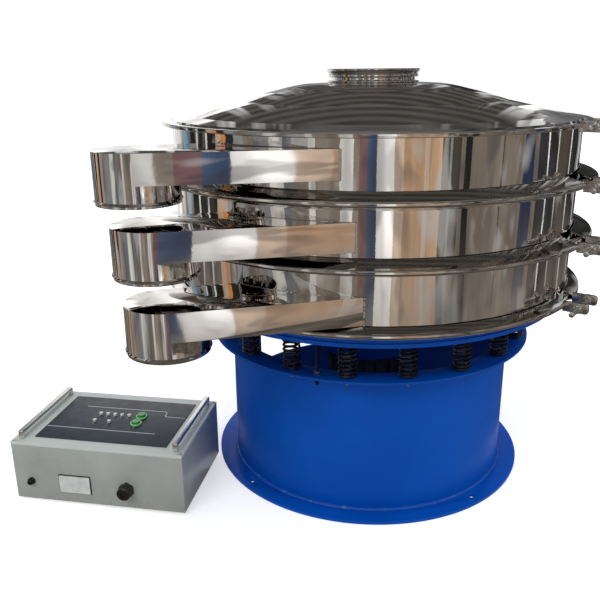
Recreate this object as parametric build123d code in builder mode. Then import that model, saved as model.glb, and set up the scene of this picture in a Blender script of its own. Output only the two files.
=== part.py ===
from build123d import *
from math import asin, cos, degrees, radians, sin, sqrt, tan
import os

os.makedirs("parts", exist_ok=True)

# Round vibrating sieve with three decks of outlets, and the ultrasonic generator that stands beside it.
# Millimetres. The origin is on the sieve's axis at floor level, +Z is up.
# Directions round the axis are degrees from +X, anticlockwise seen from above.

# Base drum: rolled shell, foot flange and top ring, welded together
base_radius = 371.0
base_wall = 6.0
base_height = 361.0
foot_flange_reach = 49.0
foot_flange_thickness = 8.0
anchor_reach = 24.0
anchor_hole_radius = 7.0
anchor_count = 4
anchor_start = -154.2
top_ring_reach = 50.0
top_ring_inset = 8.0
top_ring_thickness = 6.0
window_direction = 110.8
window_width = 320.0
window_bottom = 158.0
window_height = 140.0
window_corner = 30.0

# Springs between the base and the vibrating plate
spring_count = 18
spring_start = -113.3
spring_reach = 19.0
spring_mean_radius = 18.5
spring_wire = 6.0
spring_length = 108.0
spring_active_turns = 4
runs_per_turn = 6
locator_flats_radius = 12.5
locator_height = 12.0
stud_radius = 8.0
stud_length = 16.0
seat_nut_radius = 13.0
seat_nut_height = 8.0

# Transit rods, which lock the plate while the machine is moved
rod_count = 3
rod_start = -123.5
rod_reach = 23.0
rod_radius = 4.0
rod_length = 128.0
rod_top_gap = 8.0
rod_nut_radius = 8.0
rod_nut_height = 7.0
rod_fit = 0.3

# Frames, from joint to joint
frame_radius = 500.0
frame_wall = 3.0
flange_thickness = 3.0
bottom_flange_reach = 15.0
joint_flange_reach = 30.0
lid_flange_reach = 18.0
lid_flange_thickness = 2.0
joint_gap = 8.0
lower_frame_height = 137.0
middle_frame_height = 132.0
upper_frame_height = 122.5

# Vibrating plate and the rim ring welded on it
plate_inset = 15.0
plate_thickness = 9.0
rim_inset = 23.0
rim_wall = 5.0
rim_height = 24.0

# Screens and gaskets
gasket_inset = 2.0
gasket_lip = 2.5
gasket_web = 3.0
lid_gasket_thickness = 2.0
screen_inset = 22.0
screen_hoop_wall = 6.0
screen_hoop_depth = 24.5
mesh_inset = 1.5
mesh_thickness = 1.0
resonance_ring_radius = 212.0
resonance_bar = 12.0
resonance_arm_count = 2
transducer_radius = 30.0
transducer_height = 50.0

# Discharge dome in the lower frame, with straight steps in place of its curve
dome_rim_height = 5.0
dome_rise = 46.0
dome_sheet = 2.5
dome_steps = 3

# Bolted V rings and the C ring on the lid
clamp_slope = 18.6
clamp_sheet = 2.5
clamp_nose = 15.0
clamp_clearance = 3.0
clamp_direction = -46.7
lid_clamp_sheet = 1.5
lid_clamp_room = 3.5
lug_reach = 50.0
lug_height = 24.0
lug_thickness = 7.0
lug_spacing = 68.0
lug_corner = 8.0
clamp_bolt_radius = 6.0
clamp_bolt_offset = 28.0
clamp_bolt_fit = 0.3
clamp_nut_radius = 11.0
clamp_nut_height = 11.0
clamp_head_height = 8.0
clamp_bolt_tip = 45.0

# Inlet collar, and the lid with its rounded rings, each given by its inner crease
collar_inner_radius = 99.0
collar_wall = 4.0
collar_foot_reach = 14.0
collar_foot_thickness = 4.0
collar_height = 32.0
collar_bead_reach = 11.5
collar_bead_bottom = 13.0
collar_bead_height = 6.0
collar_lip_reach = 15.0
collar_lip_height = 4.0
collar_lip_taper = 8.0
lid_sheet = 2.5
lid_shoulder_height = 4.5
lid_crease_inset = 47.0
lid_crease_height = 11.5
lid_ring_reaches = [219.0, 122.0, 57.0]
lid_ring_heights = [40.5, 67.5, 80.5]
lid_ring_bulge = 3.0
lid_top_height = 83.5

# Outlet spouts: a channel along the shell with a drop pipe at its end
spout_pipe_radius = 84.5
spout_wall = 3.0
spout_inset = 114.2
spout_projection = 56.0
spout_height = 60.0
spout_root = 100.0
spout_pipe_drop = 43.6
spout_bead = 3.0
spout_bead_rise = 8.0
upper_spout_direction = 176.2
middle_spout_direction = 180.0
lower_spout_direction = 182.1
upper_spout_above_joint = 98.0
middle_spout_above_joint = 90.0
lower_spout_above_joint = 75.0

# Vibration motor, hung in a drum under the plate
housing_radius = 98.0
housing_wall = 8.0
mount_room = 30.0
mount_wall = 6.0
mount_height = 176.0
mount_flange_reach = 32.0
mount_flange_thickness = 8.0
mount_seat_clearance = 6.0
plate_hole_inset = 16.0
housing_above = 86.0
housing_below = 94.0
rib_count = 16
rib_depth = 8.0
rib_width = 6.0
rib_clearance = 10.0
shield_thickness = 10.0
shield_hub_wall = 10.0
bearing_radius = 50.0
bearing_width = 25.0
shaft_radius = 22.45
bearing_fit = 0.05
shaft_shoulder_radius = 27.0
shaft_shoulder_gap = 2.0
core_radius = 60.0
core_length = 100.0
air_gap = 0.5
shaft_above_plate = 64.0
shaft_below_weight = 20.0
upper_weight_radius = 104.0
upper_weight_thickness = 35.0
upper_weight_above_plate = 11.0
lower_weight_radius = 95.0
lower_weight_thickness = 20.0
adjustable_weight_thickness = 26.0
lower_weight_gap = 25.0
weight_hub_radius = 42.0
weight_angle = 160.0
weight_fit = 0.05
weight_gap = 0.3
shaft_nut_radius = 34.0
shaft_nut_height = 14.0
mount_bolt_count = 8
mount_bolt_reach = 16.0
flange_bolt_count = 6
flange_bolt_reach = 10.0
motor_bolt_radius = 9.0
motor_bolt_height = 8.0
terminal_width = 70.0
terminal_depth = 44.0
terminal_height = 60.0
terminal_direction = 110.8

# Generator box, beside the base
generator_distance = 266.0
generator_y = -66.0
generator_turn = -21.2
generator_length = 440.0
generator_width = 290.0
generator_height = 165.0
generator_wall = 3.0
generator_cover_thickness = 8.0
generator_foot_height = 8.0
generator_foot_radius = 14.0
generator_foot_inset = 40.0
panel_end_inset = 49.0
panel_side_inset = 30.5
panel_thickness = 2.0
handle_inset = 21.0
handle_end_inset = 16.0
handle_width = 14.0
handle_bar = 10.0
handle_rise = 22.0
lamp_radius = 5.0
lamp_height = 5.0
lamp_spacing = 19.5
lamp_row_start = -58.5
lamp_row_count = 5
upper_row_y = 22.0
lower_row_y = -16.0
button_x = 54.0
button_radius = 10.5
button_height = 7.0
button_travel = 2.5
button_gap = 0.3
bezel_radius = 15.0
bezel_height = 5.0
cover_screw_inset = 8.0
cover_screw_radius = 4.0
cover_screw_height = 2.0
gland_z = 60.0
gland_radii = [10.0, 20.0]
gland_lengths = [14.0, 26.0]
gland_insets = [45.0, 295.0]
socket_inset = 160.0
socket_length = 84.0
socket_height = 50.0
socket_depth = 8.0

# Radii and places that follow from the sizes above
foot_flange_radius = base_radius + foot_flange_reach
anchor_circle_radius = base_radius + anchor_reach
top_ring_radius = base_radius + top_ring_reach
top_ring_inner_radius = base_radius - top_ring_inset
spring_circle_radius = base_radius + spring_reach
rod_circle_radius = base_radius + rod_reach
bottom_flange_radius = frame_radius + bottom_flange_reach
joint_flange_radius = frame_radius + joint_flange_reach
lid_flange_radius = frame_radius + lid_flange_reach
plate_radius = frame_radius - plate_inset
rim_inner_radius = frame_radius - rim_inset
gasket_inner_radius = frame_radius - gasket_inset
screen_inner_radius = frame_radius - screen_inset
mesh_radius = gasket_inner_radius - mesh_inset
clamp_inner_radius = frame_radius + clamp_clearance
collar_foot_radius = collar_inner_radius + collar_foot_reach
collar_bead_radius = collar_inner_radius + collar_bead_reach
collar_lip_radius = collar_inner_radius + collar_lip_reach
lid_shoulder_radius = frame_radius - frame_wall
lid_crease_radius = lid_shoulder_radius - lid_crease_inset
spout_offset = frame_radius - spout_inset
spout_reach = frame_radius + spout_projection
mount_radius = housing_radius + mount_room
mount_flange_radius = mount_radius + mount_flange_reach
mount_seat_radius = housing_radius + mount_seat_clearance
plate_hole_radius = mount_radius - plate_hole_inset
mount_bolt_circle_radius = mount_radius + mount_bolt_reach
flange_bolt_circle_radius = mount_seat_radius + flange_bolt_reach
generator_x = -foot_flange_radius - generator_distance
panel_length = generator_length - 2 * panel_end_inset
panel_width = generator_width - 2 * panel_side_inset
handle_length = generator_width - 2 * handle_end_inset

# Levels that follow from the sizes above
deck_top = base_height + top_ring_thickness
plate_underside = deck_top + spring_length
plate_top = plate_underside + plate_thickness
bottom_joint = plate_top + rim_height + flange_thickness + joint_gap / 2
lower_joint = bottom_joint + lower_frame_height
upper_joint = lower_joint + middle_frame_height
frame_top = upper_joint + upper_frame_height
lid_flange_bottom = frame_top + lid_gasket_thickness
lid_flange_top = lid_flange_bottom + lid_flange_thickness
stack_half = joint_gap / 2 + flange_thickness
motor_flange_top = plate_underside - mount_height
housing_top = motor_flange_top + housing_above
housing_bottom = motor_flange_top - housing_below
adjustable_weight_top = housing_bottom - shield_thickness - lower_weight_gap - lower_weight_thickness
shaft_lower_end = adjustable_weight_top - adjustable_weight_thickness - shaft_below_weight
upper_spout_bottom = upper_joint + upper_spout_above_joint - spout_height
middle_spout_bottom = lower_joint + middle_spout_above_joint - spout_height
lower_spout_bottom = bottom_joint + lower_spout_above_joint - spout_height


def save(piece, name):
    """Label a finished piece and write its file."""
    piece.part.label = name
    export_step(piece.part, f"parts/{name}.step")


def turned(name, points):
    """A piece turned about the machine's axis from its closed outline of (radius, height) points."""
    with BuildPart() as piece:
        with BuildSketch(Plane.XZ):
            with BuildLine():
                Polyline(*points, close=True)
            make_face()
        revolve(axis=Axis.Z)
    save(piece, name)


def level(height, direction=0.0):
    """A horizontal plane at a height, with its x axis turned to a direction."""
    x_dir = (cos(radians(direction)), sin(radians(direction)), 0)
    return Plane(origin=(0, 0, height), x_dir=x_dir, z_dir=(0, 0, 1))


def foot_flange():
    with BuildPart() as flange:
        with BuildSketch():
            Circle(foot_flange_radius)
            Circle(base_radius - base_wall, mode=Mode.SUBTRACT)
            with PolarLocations(anchor_circle_radius, anchor_count, start_angle=anchor_start):
                Circle(anchor_hole_radius, mode=Mode.SUBTRACT)
        extrude(amount=foot_flange_thickness)
    save(flange, "foot_flange")


def base_shell():
    """The rolled shell of the base, with the window that the motor is reached through at the back."""
    window_plane = Plane(
        origin=(0, 0, window_bottom + window_height / 2),
        x_dir=(-sin(radians(window_direction)), cos(radians(window_direction)), 0),
        z_dir=(cos(radians(window_direction)), sin(radians(window_direction)), 0),
    )
    with BuildPart() as shell:
        with BuildSketch(level(foot_flange_thickness)):
            Circle(base_radius)
            Circle(base_radius - base_wall, mode=Mode.SUBTRACT)
        extrude(amount=base_height - foot_flange_thickness)
        with BuildSketch(window_plane):
            RectangleRounded(window_width, window_height, window_corner)
        extrude(amount=base_radius + base_wall, mode=Mode.SUBTRACT)
    save(shell, "base_shell")


def top_ring():
    """The ring on the shell that carries the springs."""
    with BuildPart() as ring:
        with BuildSketch(level(base_height)):
            Circle(top_ring_radius)
            Circle(top_ring_inner_radius, mode=Mode.SUBTRACT)
            with PolarLocations(rod_circle_radius, rod_count, start_angle=rod_start):
                Circle(rod_radius + rod_fit, mode=Mode.SUBTRACT)
        extrude(amount=top_ring_thickness)
    save(ring, "top_ring")


def springs():
    """Compression springs with half a flat turn at each end. Straight runs stand for the round coils."""
    flat_runs = runs_per_turn // 2
    rising_runs = runs_per_turn * spring_active_turns
    bottom = deck_top + spring_wire / 2
    run_rise = (spring_length - spring_wire) / rising_runs
    with BuildPart() as coil:
        for run in range(flat_runs + rising_runs + flat_runs + 1):
            angle = radians(360 * run / runs_per_turn)
            outward = Vector(cos(angle), sin(angle), 0)
            height = bottom + run_rise * min(max(run - flat_runs, 0), rising_runs)
            centre = outward * spring_mean_radius + Vector(0, 0, height)
            with BuildSketch(Plane(origin=centre, x_dir=outward, z_dir=Vector(0, 0, 1).cross(outward))):
                Rectangle(spring_wire, spring_wire)
        loft(ruled=True)
    with BuildPart() as springs_all:
        with PolarLocations(spring_circle_radius, spring_count, start_angle=spring_start):
            add(coil.part)
    save(springs_all, "springs")


def spring_seats():
    """A hexagonal locator inside each spring, with its stud's end and nut under the top ring."""
    with BuildPart() as seats:
        with BuildSketch(level(deck_top)):
            with PolarLocations(spring_circle_radius, spring_count, start_angle=spring_start):
                RegularPolygon(locator_flats_radius, 6)
        extrude(amount=locator_height)
        with BuildSketch(level(base_height)):
            with PolarLocations(spring_circle_radius, spring_count, start_angle=spring_start):
                RegularPolygon(seat_nut_radius, 6)
        extrude(amount=-seat_nut_height)
        with BuildSketch(level(base_height)):
            with PolarLocations(spring_circle_radius, spring_count, start_angle=spring_start):
                RegularPolygon(stud_radius, 6)
        extrude(amount=-stud_length)
    save(seats, "spring_seats")


def transit_rods():
    rod_top = plate_underside - rod_top_gap
    with BuildPart() as rods:
        with BuildSketch(level(rod_top)):
            with PolarLocations(rod_circle_radius, rod_count, start_angle=rod_start):
                Circle(rod_radius)
        extrude(amount=-rod_length)
        for face_height, direction in [(deck_top, 1), (base_height, -1)]:
            with BuildSketch(level(face_height)):
                with PolarLocations(rod_circle_radius, rod_count, start_angle=rod_start):
                    RegularPolygon(rod_nut_radius, 6)
            extrude(amount=direction * rod_nut_height)
    save(rods, "transit_rods")


def vibrating_plate():
    turned("vibrating_plate", [
        (plate_hole_radius, plate_underside),
        (plate_radius, plate_underside),
        (plate_radius, plate_top),
        (plate_hole_radius, plate_top),
    ])


def plate_rim_ring():
    rim_outer = rim_inner_radius + rim_wall
    turned("plate_rim_ring", [
        (rim_inner_radius, plate_top),
        (rim_outer, plate_top),
        (rim_outer, plate_top + rim_height),
        (bottom_flange_radius, plate_top + rim_height),
        (bottom_flange_radius, plate_top + rim_height + flange_thickness),
        (rim_inner_radius, plate_top + rim_height + flange_thickness),
    ])


def frame(name, bottom, bottom_reach, top, top_reach, top_thickness, spout_bottom, spout_direction):
    """A rolled shell with a flange at each end and the opening into its spout."""
    inner = frame_radius - frame_wall
    outline = [
        (inner, bottom),
        (bottom_reach, bottom),
        (bottom_reach, bottom + flange_thickness),
        (frame_radius, bottom + flange_thickness),
        (frame_radius, top - top_thickness),
        (top_reach, top - top_thickness),
        (top_reach, top),
        (inner, top),
    ]
    half_width = spout_pipe_radius - spout_wall
    with BuildPart() as shell:
        with BuildSketch(Plane.XZ):
            with BuildLine():
                Polyline(*outline, close=True)
            make_face()
        revolve(axis=Axis.Z)
        with BuildSketch(level(spout_bottom + spout_wall, spout_direction)):
            with Locations((spout_root, spout_offset)):
                Rectangle(spout_reach - spout_root, 2 * half_width, align=(Align.MIN, Align.CENTER))
        extrude(amount=spout_height - 2 * spout_wall, mode=Mode.SUBTRACT)
    save(shell, name)


def spout(name, bottom, direction):
    """A channel that leaves the shell along a tangent, closed by a round end over its drop pipe."""
    centre = (spout_reach, spout_offset)
    inner_radius = spout_pipe_radius - spout_wall
    bead_height = bottom - spout_pipe_drop + spout_bead_rise
    bead_centre = level(bead_height, direction).from_local_coords((spout_reach, spout_offset, 0))
    with BuildPart() as channel:
        with BuildSketch(level(bottom, direction)):
            with Locations((0, spout_offset)):
                Rectangle(spout_reach, 2 * spout_pipe_radius, align=(Align.MIN, Align.CENTER))
            with Locations(centre):
                Circle(spout_pipe_radius)
        extrude(amount=spout_height)
        with BuildSketch(level(bottom + spout_wall, direction)):
            with Locations((0, spout_offset)):
                Rectangle(spout_reach, 2 * inner_radius, align=(Align.MIN, Align.CENTER))
            with Locations(centre):
                Circle(inner_radius)
        extrude(amount=spout_height - 2 * spout_wall, mode=Mode.SUBTRACT)
        with BuildSketch(level(bottom, direction)):
            Circle(frame_radius)
        extrude(amount=spout_height, mode=Mode.SUBTRACT)
        with BuildSketch(level(bottom - spout_pipe_drop, direction)):
            with Locations(centre):
                Circle(spout_pipe_radius)
        extrude(amount=spout_pipe_drop)
        with BuildSketch(Plane(origin=bead_centre, x_dir=(1, 0, 0), z_dir=(0, -1, 0))):
            with BuildLine():
                Polyline(
                    (inner_radius, -spout_bead),
                    (spout_pipe_radius, -spout_bead),
                    (spout_pipe_radius + spout_bead, 0),
                    (spout_pipe_radius, spout_bead),
                    (inner_radius, spout_bead),
                    close=True,
                )
            make_face()
        revolve(axis=Axis(bead_centre, (0, 0, 1)))
        with BuildSketch(level(bottom - spout_pipe_drop, direction)):
            with Locations(centre):
                Circle(inner_radius)
        extrude(amount=spout_pipe_drop + spout_wall, mode=Mode.SUBTRACT)
    save(channel, name)


def discharge_dome():
    """The domed floor of the lower frame, in straight steps, which sends the fines out to the rim."""
    rim_radius = frame_radius - frame_wall
    rim = bottom_joint + joint_gap / 2 + dome_rim_height
    radii = [rim_radius * step / dome_steps for step in range(dome_steps + 1)]
    upper = [(radius, rim + dome_rise * (1 - (radius / rim_radius) ** 2)) for radius in radii]
    lower = [(radius, height - dome_sheet) for radius, height in reversed(upper)]
    turned("discharge_dome", upper + lower)


def flat_gasket(name, outer_radius, bottom, thickness):
    turned(name, [
        (gasket_inner_radius, bottom),
        (outer_radius, bottom),
        (outer_radius, bottom + thickness),
        (gasket_inner_radius, bottom + thickness),
    ])


def screen_gasket(name, joint):
    """A U-shaped rubber ring that wraps the rim of a screen."""
    web_radius = joint_flange_radius - gasket_web
    half = joint_gap / 2
    turned(name, [
        (gasket_inner_radius, joint - half),
        (joint_flange_radius, joint - half),
        (joint_flange_radius, joint + half),
        (gasket_inner_radius, joint + half),
        (gasket_inner_radius, joint + half - gasket_lip),
        (web_radius, joint + half - gasket_lip),
        (web_radius, joint - half + gasket_lip),
        (gasket_inner_radius, joint - half + gasket_lip),
    ])


def screen_ring(name, joint):
    """The screen's rim plate with the hoop that stiffens it below."""
    rim_radius = joint_flange_radius - gasket_web
    half = joint_gap / 2 - gasket_lip
    hoop_radius = screen_inner_radius + screen_hoop_wall
    turned(name, [
        (screen_inner_radius, joint - half - screen_hoop_depth),
        (hoop_radius, joint - half - screen_hoop_depth),
        (hoop_radius, joint - half),
        (rim_radius, joint - half),
        (rim_radius, joint + half),
        (screen_inner_radius, joint + half),
    ])


def screen_mesh(name, joint):
    with BuildPart() as mesh:
        with BuildSketch(level(joint + joint_gap / 2 - gasket_lip)):
            Circle(mesh_radius)
        extrude(amount=mesh_thickness)
    save(mesh, name)


def resonator(name, joint):
    """The ultrasonic ring under a mesh, its arms to the screen's hoop and the transducer in the middle."""
    top = joint + joint_gap / 2 - gasket_lip
    with BuildPart() as ring:
        with BuildSketch(level(top)):
            with PolarLocations(0, resonance_arm_count):
                Rectangle(mesh_radius, resonance_bar, align=(Align.MIN, Align.CENTER))
            Circle(screen_inner_radius, mode=Mode.INTERSECT)
        extrude(amount=-resonance_bar)
        with BuildSketch(level(top)):
            Circle(resonance_ring_radius)
            Circle(resonance_ring_radius - resonance_bar, mode=Mode.SUBTRACT)
        extrude(amount=-resonance_bar)
        with BuildSketch(level(top)):
            Circle(transducer_radius)
        extrude(amount=-transducer_height)
    save(ring, name)


def clamp_ring(name, joint, outline, ring_radius, ring_sheet):
    """A ring open at the bolt, turned from its section and closed by two radial lugs with a hole for the bolt."""
    gap_angle = 2 * degrees(asin((lug_spacing + lug_thickness) / 2 / ring_radius))
    start = level(0, clamp_direction + gap_angle / 2)
    section = Plane(origin=(0, 0, 0), x_dir=start.x_dir, z_dir=-start.y_dir)
    lug_plane = level(joint, clamp_direction)
    lug_root = sqrt(ring_radius**2 - (lug_spacing / 2 + lug_thickness) ** 2) - ring_sheet
    lug_length = ring_radius + lug_reach - lug_root
    with BuildPart() as ring:
        with BuildSketch(section):
            with BuildLine():
                Polyline(*outline, close=True)
            make_face()
        revolve(axis=Axis.Z, revolution_arc=360 - gap_angle)
        for side in (-1, 1):
            corner = lug_plane.from_local_coords((lug_root, side * lug_spacing / 2, 0))
            lug_face = Plane(origin=corner, x_dir=lug_plane.x_dir, z_dir=lug_plane.y_dir * side)
            with BuildSketch(lug_face) as lug:
                Rectangle(lug_length, lug_height, align=(Align.MIN, Align.CENTER))
                fillet(lug.vertices().group_by(Axis.X)[-1], lug_corner)
            extrude(amount=lug_thickness)
            with BuildSketch(lug_face):
                with Locations((ring_radius + clamp_bolt_offset - lug_root, 0)):
                    Circle(clamp_bolt_radius + clamp_bolt_fit)
            extrude(amount=lug_thickness, mode=Mode.SUBTRACT)
    save(ring, name)


def v_ring(name, joint, flange_reach):
    """A V-shaped ring whose slopes bear on the edges of the two flanges."""
    slope = tan(radians(clamp_slope))
    sheet_rise = clamp_sheet / cos(radians(clamp_slope))
    nose = flange_reach + clamp_nose
    nose_inner = nose - clamp_sheet

    def inner_height(radius):
        return stack_half + slope * (flange_reach - radius)

    lip = inner_height(clamp_inner_radius)
    upper_half = [
        (nose_inner, inner_height(nose_inner)),
        (clamp_inner_radius, lip),
        (clamp_inner_radius, lip + sheet_rise),
        (nose, inner_height(nose) + sheet_rise),
    ]
    lower_half = [(radius, -height) for radius, height in reversed(upper_half)]
    outline = [(radius, joint + height) for radius, height in upper_half + lower_half]
    clamp_ring(name, joint, outline, nose, clamp_sheet)


def lid_ring():
    outer = lid_flange_radius + lid_clamp_room + lid_clamp_sheet
    inner = outer - lid_clamp_sheet
    bottom = frame_top - lid_flange_thickness
    outline = [
        (outer, bottom - lid_clamp_sheet),
        (outer, lid_flange_top + lid_clamp_sheet),
        (clamp_inner_radius, lid_flange_top + lid_clamp_sheet),
        (clamp_inner_radius, lid_flange_top),
        (inner, lid_flange_top),
        (inner, bottom),
        (clamp_inner_radius, bottom),
        (clamp_inner_radius, bottom - lid_clamp_sheet),
    ]
    clamp_ring("lid_clamp_ring", (bottom + lid_flange_top) / 2, outline, outer, lid_clamp_sheet)


def clamp_bolts():
    """The bolt of each ring: head, threaded rod with a long free end, and nut."""
    lid_joint = (frame_top - lid_flange_thickness + lid_flange_top) / 2
    rings = [
        (bottom_joint, bottom_flange_radius + clamp_nose),
        (lower_joint, joint_flange_radius + clamp_nose),
        (upper_joint, joint_flange_radius + clamp_nose),
        (lid_joint, lid_flange_radius + lid_clamp_room + lid_clamp_sheet),
    ]
    outer_face = lug_spacing / 2 + lug_thickness
    near_end = outer_face + clamp_nut_height + clamp_bolt_tip
    with BuildPart() as bolts:
        for joint, ring_radius in rings:
            lug_plane = level(joint, clamp_direction)
            axis_point = lug_plane.from_local_coords((ring_radius + clamp_bolt_offset, 0, 0))
            across = Plane(origin=axis_point, x_dir=lug_plane.x_dir, z_dir=lug_plane.y_dir)
            with BuildSketch(across.offset(-near_end)):
                Circle(clamp_bolt_radius)
            extrude(amount=near_end + outer_face)
            with BuildSketch(across.offset(-outer_face)):
                RegularPolygon(clamp_nut_radius, 6)
            extrude(amount=-clamp_nut_height)
            with BuildSketch(across.offset(outer_face)):
                RegularPolygon(clamp_nut_radius, 6)
            extrude(amount=clamp_head_height)
    save(bolts, "clamp_bolts")


def lid():
    """A pressed lid: flat flange, shoulder, and three shallow rings up to the flat round the inlet."""
    profile = [(lid_shoulder_radius, lid_shoulder_height), (lid_crease_radius, lid_crease_height)]
    for reach, height in zip(lid_ring_reaches, lid_ring_heights):
        radius = collar_foot_radius + reach
        outer_radius, outer_height = profile[-1]
        profile.append(((outer_radius + radius) / 2, (outer_height + height) / 2 + lid_ring_bulge))
        profile.append((radius, height))
    profile.append((collar_foot_radius, lid_top_height))
    profile.append((collar_inner_radius, lid_top_height))
    flange_inner = lid_shoulder_radius + frame_wall
    upper = [(radius, lid_flange_top + height) for radius, height in profile]
    lower = [(radius, height - lid_sheet) for radius, height in reversed(upper)]
    flange = [
        (flange_inner, lid_flange_bottom),
        (lid_flange_radius, lid_flange_bottom),
        (lid_flange_radius, lid_flange_top),
        (flange_inner, lid_flange_top),
    ]
    turned("lid", upper + lower + flange)


def inlet_collar():
    foot = lid_flange_top + lid_top_height
    neck_radius = collar_inner_radius + collar_wall
    bead_bottom = foot + collar_bead_bottom
    bead_top = bead_bottom + collar_bead_height
    lip_bottom = foot + collar_height - collar_lip_height
    turned("inlet_collar", [
        (collar_inner_radius, foot),
        (collar_foot_radius, foot),
        (collar_foot_radius, foot + collar_foot_thickness),
        (neck_radius, foot + collar_foot_thickness),
        (neck_radius, bead_bottom),
        (collar_bead_radius, bead_bottom),
        (collar_bead_radius, bead_top),
        (collar_bead_radius - collar_lip_height / 2, lip_bottom - collar_lip_taper),
        (collar_lip_radius, lip_bottom),
        (collar_lip_radius, foot + collar_height),
        (collar_inner_radius, foot + collar_height),
    ])


def motor_mount():
    """The drum that hangs the motor under the plate, flanged at both ends."""
    inner = mount_radius - mount_wall
    turned("motor_mount", [
        (mount_seat_radius, motor_flange_top),
        (mount_radius, motor_flange_top),
        (mount_radius, plate_underside - mount_flange_thickness),
        (mount_flange_radius, plate_underside - mount_flange_thickness),
        (mount_flange_radius, plate_underside),
        (inner, plate_underside),
        (inner, motor_flange_top + mount_flange_thickness),
        (mount_seat_radius, motor_flange_top + mount_flange_thickness),
    ])


def motor_housing():
    """The motor's shell with its flange, and cooling ribs below it."""
    flange_bottom = motor_flange_top - mount_flange_thickness
    inner = housing_radius - housing_wall
    rib_height = flange_bottom - housing_bottom - rib_clearance
    outline = [
        (inner, housing_bottom),
        (housing_radius, housing_bottom),
        (housing_radius, flange_bottom),
        (mount_radius, flange_bottom),
        (mount_radius, motor_flange_top),
        (housing_radius, motor_flange_top),
        (housing_radius, housing_top),
        (inner, housing_top),
    ]
    with BuildPart() as housing:
        with BuildSketch(Plane.XZ):
            with BuildLine():
                Polyline(*outline, close=True)
            make_face()
        revolve(axis=Axis.Z)
        rib_sketch_depth = rib_depth + housing_wall / 2
        with BuildSketch(level(housing_bottom)):
            with PolarLocations(housing_radius - housing_wall / 2, rib_count, start_angle=terminal_direction):
                Rectangle(rib_sketch_depth, rib_width, align=(Align.MIN, Align.CENTER))
        extrude(amount=rib_height)
    save(housing, "motor_housing")


def end_shield(name, outer_face, inward):
    """A motor end plate whose hub holds one bearing."""
    hub_radius = bearing_radius + shield_hub_wall
    plate_end = outer_face + inward * shield_thickness
    hub_end = outer_face + inward * bearing_width
    turned(name, [
        (bearing_radius, outer_face),
        (housing_radius, outer_face),
        (housing_radius, plate_end),
        (hub_radius, plate_end),
        (hub_radius, hub_end),
        (bearing_radius, hub_end),
    ])


def motor_bearings():
    with BuildPart() as bearings:
        for bottom in (housing_bottom - shield_thickness, housing_top + shield_thickness - bearing_width):
            with BuildSketch(level(bottom)):
                Circle(bearing_radius)
                Circle(shaft_radius + bearing_fit, mode=Mode.SUBTRACT)
            extrude(amount=bearing_width)
    save(bearings, "motor_bearings")


def core_bottom():
    return (housing_bottom + housing_top - core_length) / 2


def stator():
    with BuildPart() as iron:
        with BuildSketch(level(core_bottom())):
            Circle(housing_radius - housing_wall)
            Circle(core_radius + air_gap, mode=Mode.SUBTRACT)
        extrude(amount=core_length)
    save(iron, "stator")


def rotor_core():
    with BuildPart() as core:
        with BuildSketch(level(core_bottom())):
            Circle(core_radius)
            Circle(shaft_shoulder_radius, mode=Mode.SUBTRACT)
        extrude(amount=core_length)
    save(core, "rotor_core")


def motor_shaft():
    shoulder_bottom = housing_bottom - shield_thickness + bearing_width + shaft_shoulder_gap
    shoulder_top = housing_top + shield_thickness - bearing_width - shaft_shoulder_gap
    turned("motor_shaft", [
        (0, shaft_lower_end),
        (shaft_radius, shaft_lower_end),
        (shaft_radius, shoulder_bottom),
        (shaft_shoulder_radius, shoulder_bottom),
        (shaft_shoulder_radius, shoulder_top),
        (shaft_radius, shoulder_top),
        (shaft_radius, plate_top + shaft_above_plate),
        (0, plate_top + shaft_above_plate),
    ])


def fan_weight(name, bottom, thickness, reach, bore):
    """An eccentric weight: a fan-shaped plate on a round hub."""
    with BuildPart() as weight:
        with BuildSketch(level(bottom)):
            with BuildLine():
                CenterArc((0, 0), reach, -weight_angle / 2, weight_angle)
                start = (reach * cos(radians(weight_angle / 2)), reach * sin(radians(weight_angle / 2)))
                Polyline(start, (0, 0), (start[0], -start[1]))
            make_face()
            Circle(weight_hub_radius)
            Circle(bore, mode=Mode.SUBTRACT)
        extrude(amount=thickness)
    save(weight, name)


def shaft_nuts():
    upper_face = plate_top + upper_weight_above_plate + upper_weight_thickness
    lower_face = adjustable_weight_top - adjustable_weight_thickness - weight_gap
    with BuildPart() as nuts:
        for face, direction in [(upper_face, 1), (lower_face, -1)]:
            with BuildSketch(level(face)):
                RegularPolygon(shaft_nut_radius, 6)
                Circle(shaft_radius, mode=Mode.SUBTRACT)
            extrude(amount=direction * shaft_nut_height)
    save(nuts, "shaft_nuts")


def motor_bolts():
    """Screw heads under the motor's flange and nuts under the mount's upper flange."""
    patterns = [
        (motor_flange_top - mount_flange_thickness, flange_bolt_circle_radius, flange_bolt_count),
        (plate_underside - mount_flange_thickness, mount_bolt_circle_radius, mount_bolt_count),
    ]
    with BuildPart() as bolts:
        for face, circle_radius, count in patterns:
            with BuildSketch(level(face)):
                with PolarLocations(circle_radius, count):
                    RegularPolygon(motor_bolt_radius, 6)
            extrude(amount=-motor_bolt_height)
    save(bolts, "motor_bolts")


def terminal_box():
    box_plane = level(housing_bottom, terminal_direction)
    with BuildPart() as box:
        with BuildSketch(box_plane):
            with Locations((housing_radius + rib_depth, 0)):
                Rectangle(terminal_depth, terminal_width, align=(Align.MIN, Align.CENTER))
        extrude(amount=terminal_height)
    save(box, "terminal_box")


def generator_level(height):
    """A horizontal plane on the generator's own centre and direction."""
    turn = radians(generator_turn)
    return Plane(
        origin=(generator_x, generator_y, height), x_dir=(cos(turn), sin(turn), 0), z_dir=(0, 0, 1)
    )


generator_top = generator_height - generator_cover_thickness
panel_top = generator_height + panel_thickness


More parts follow.
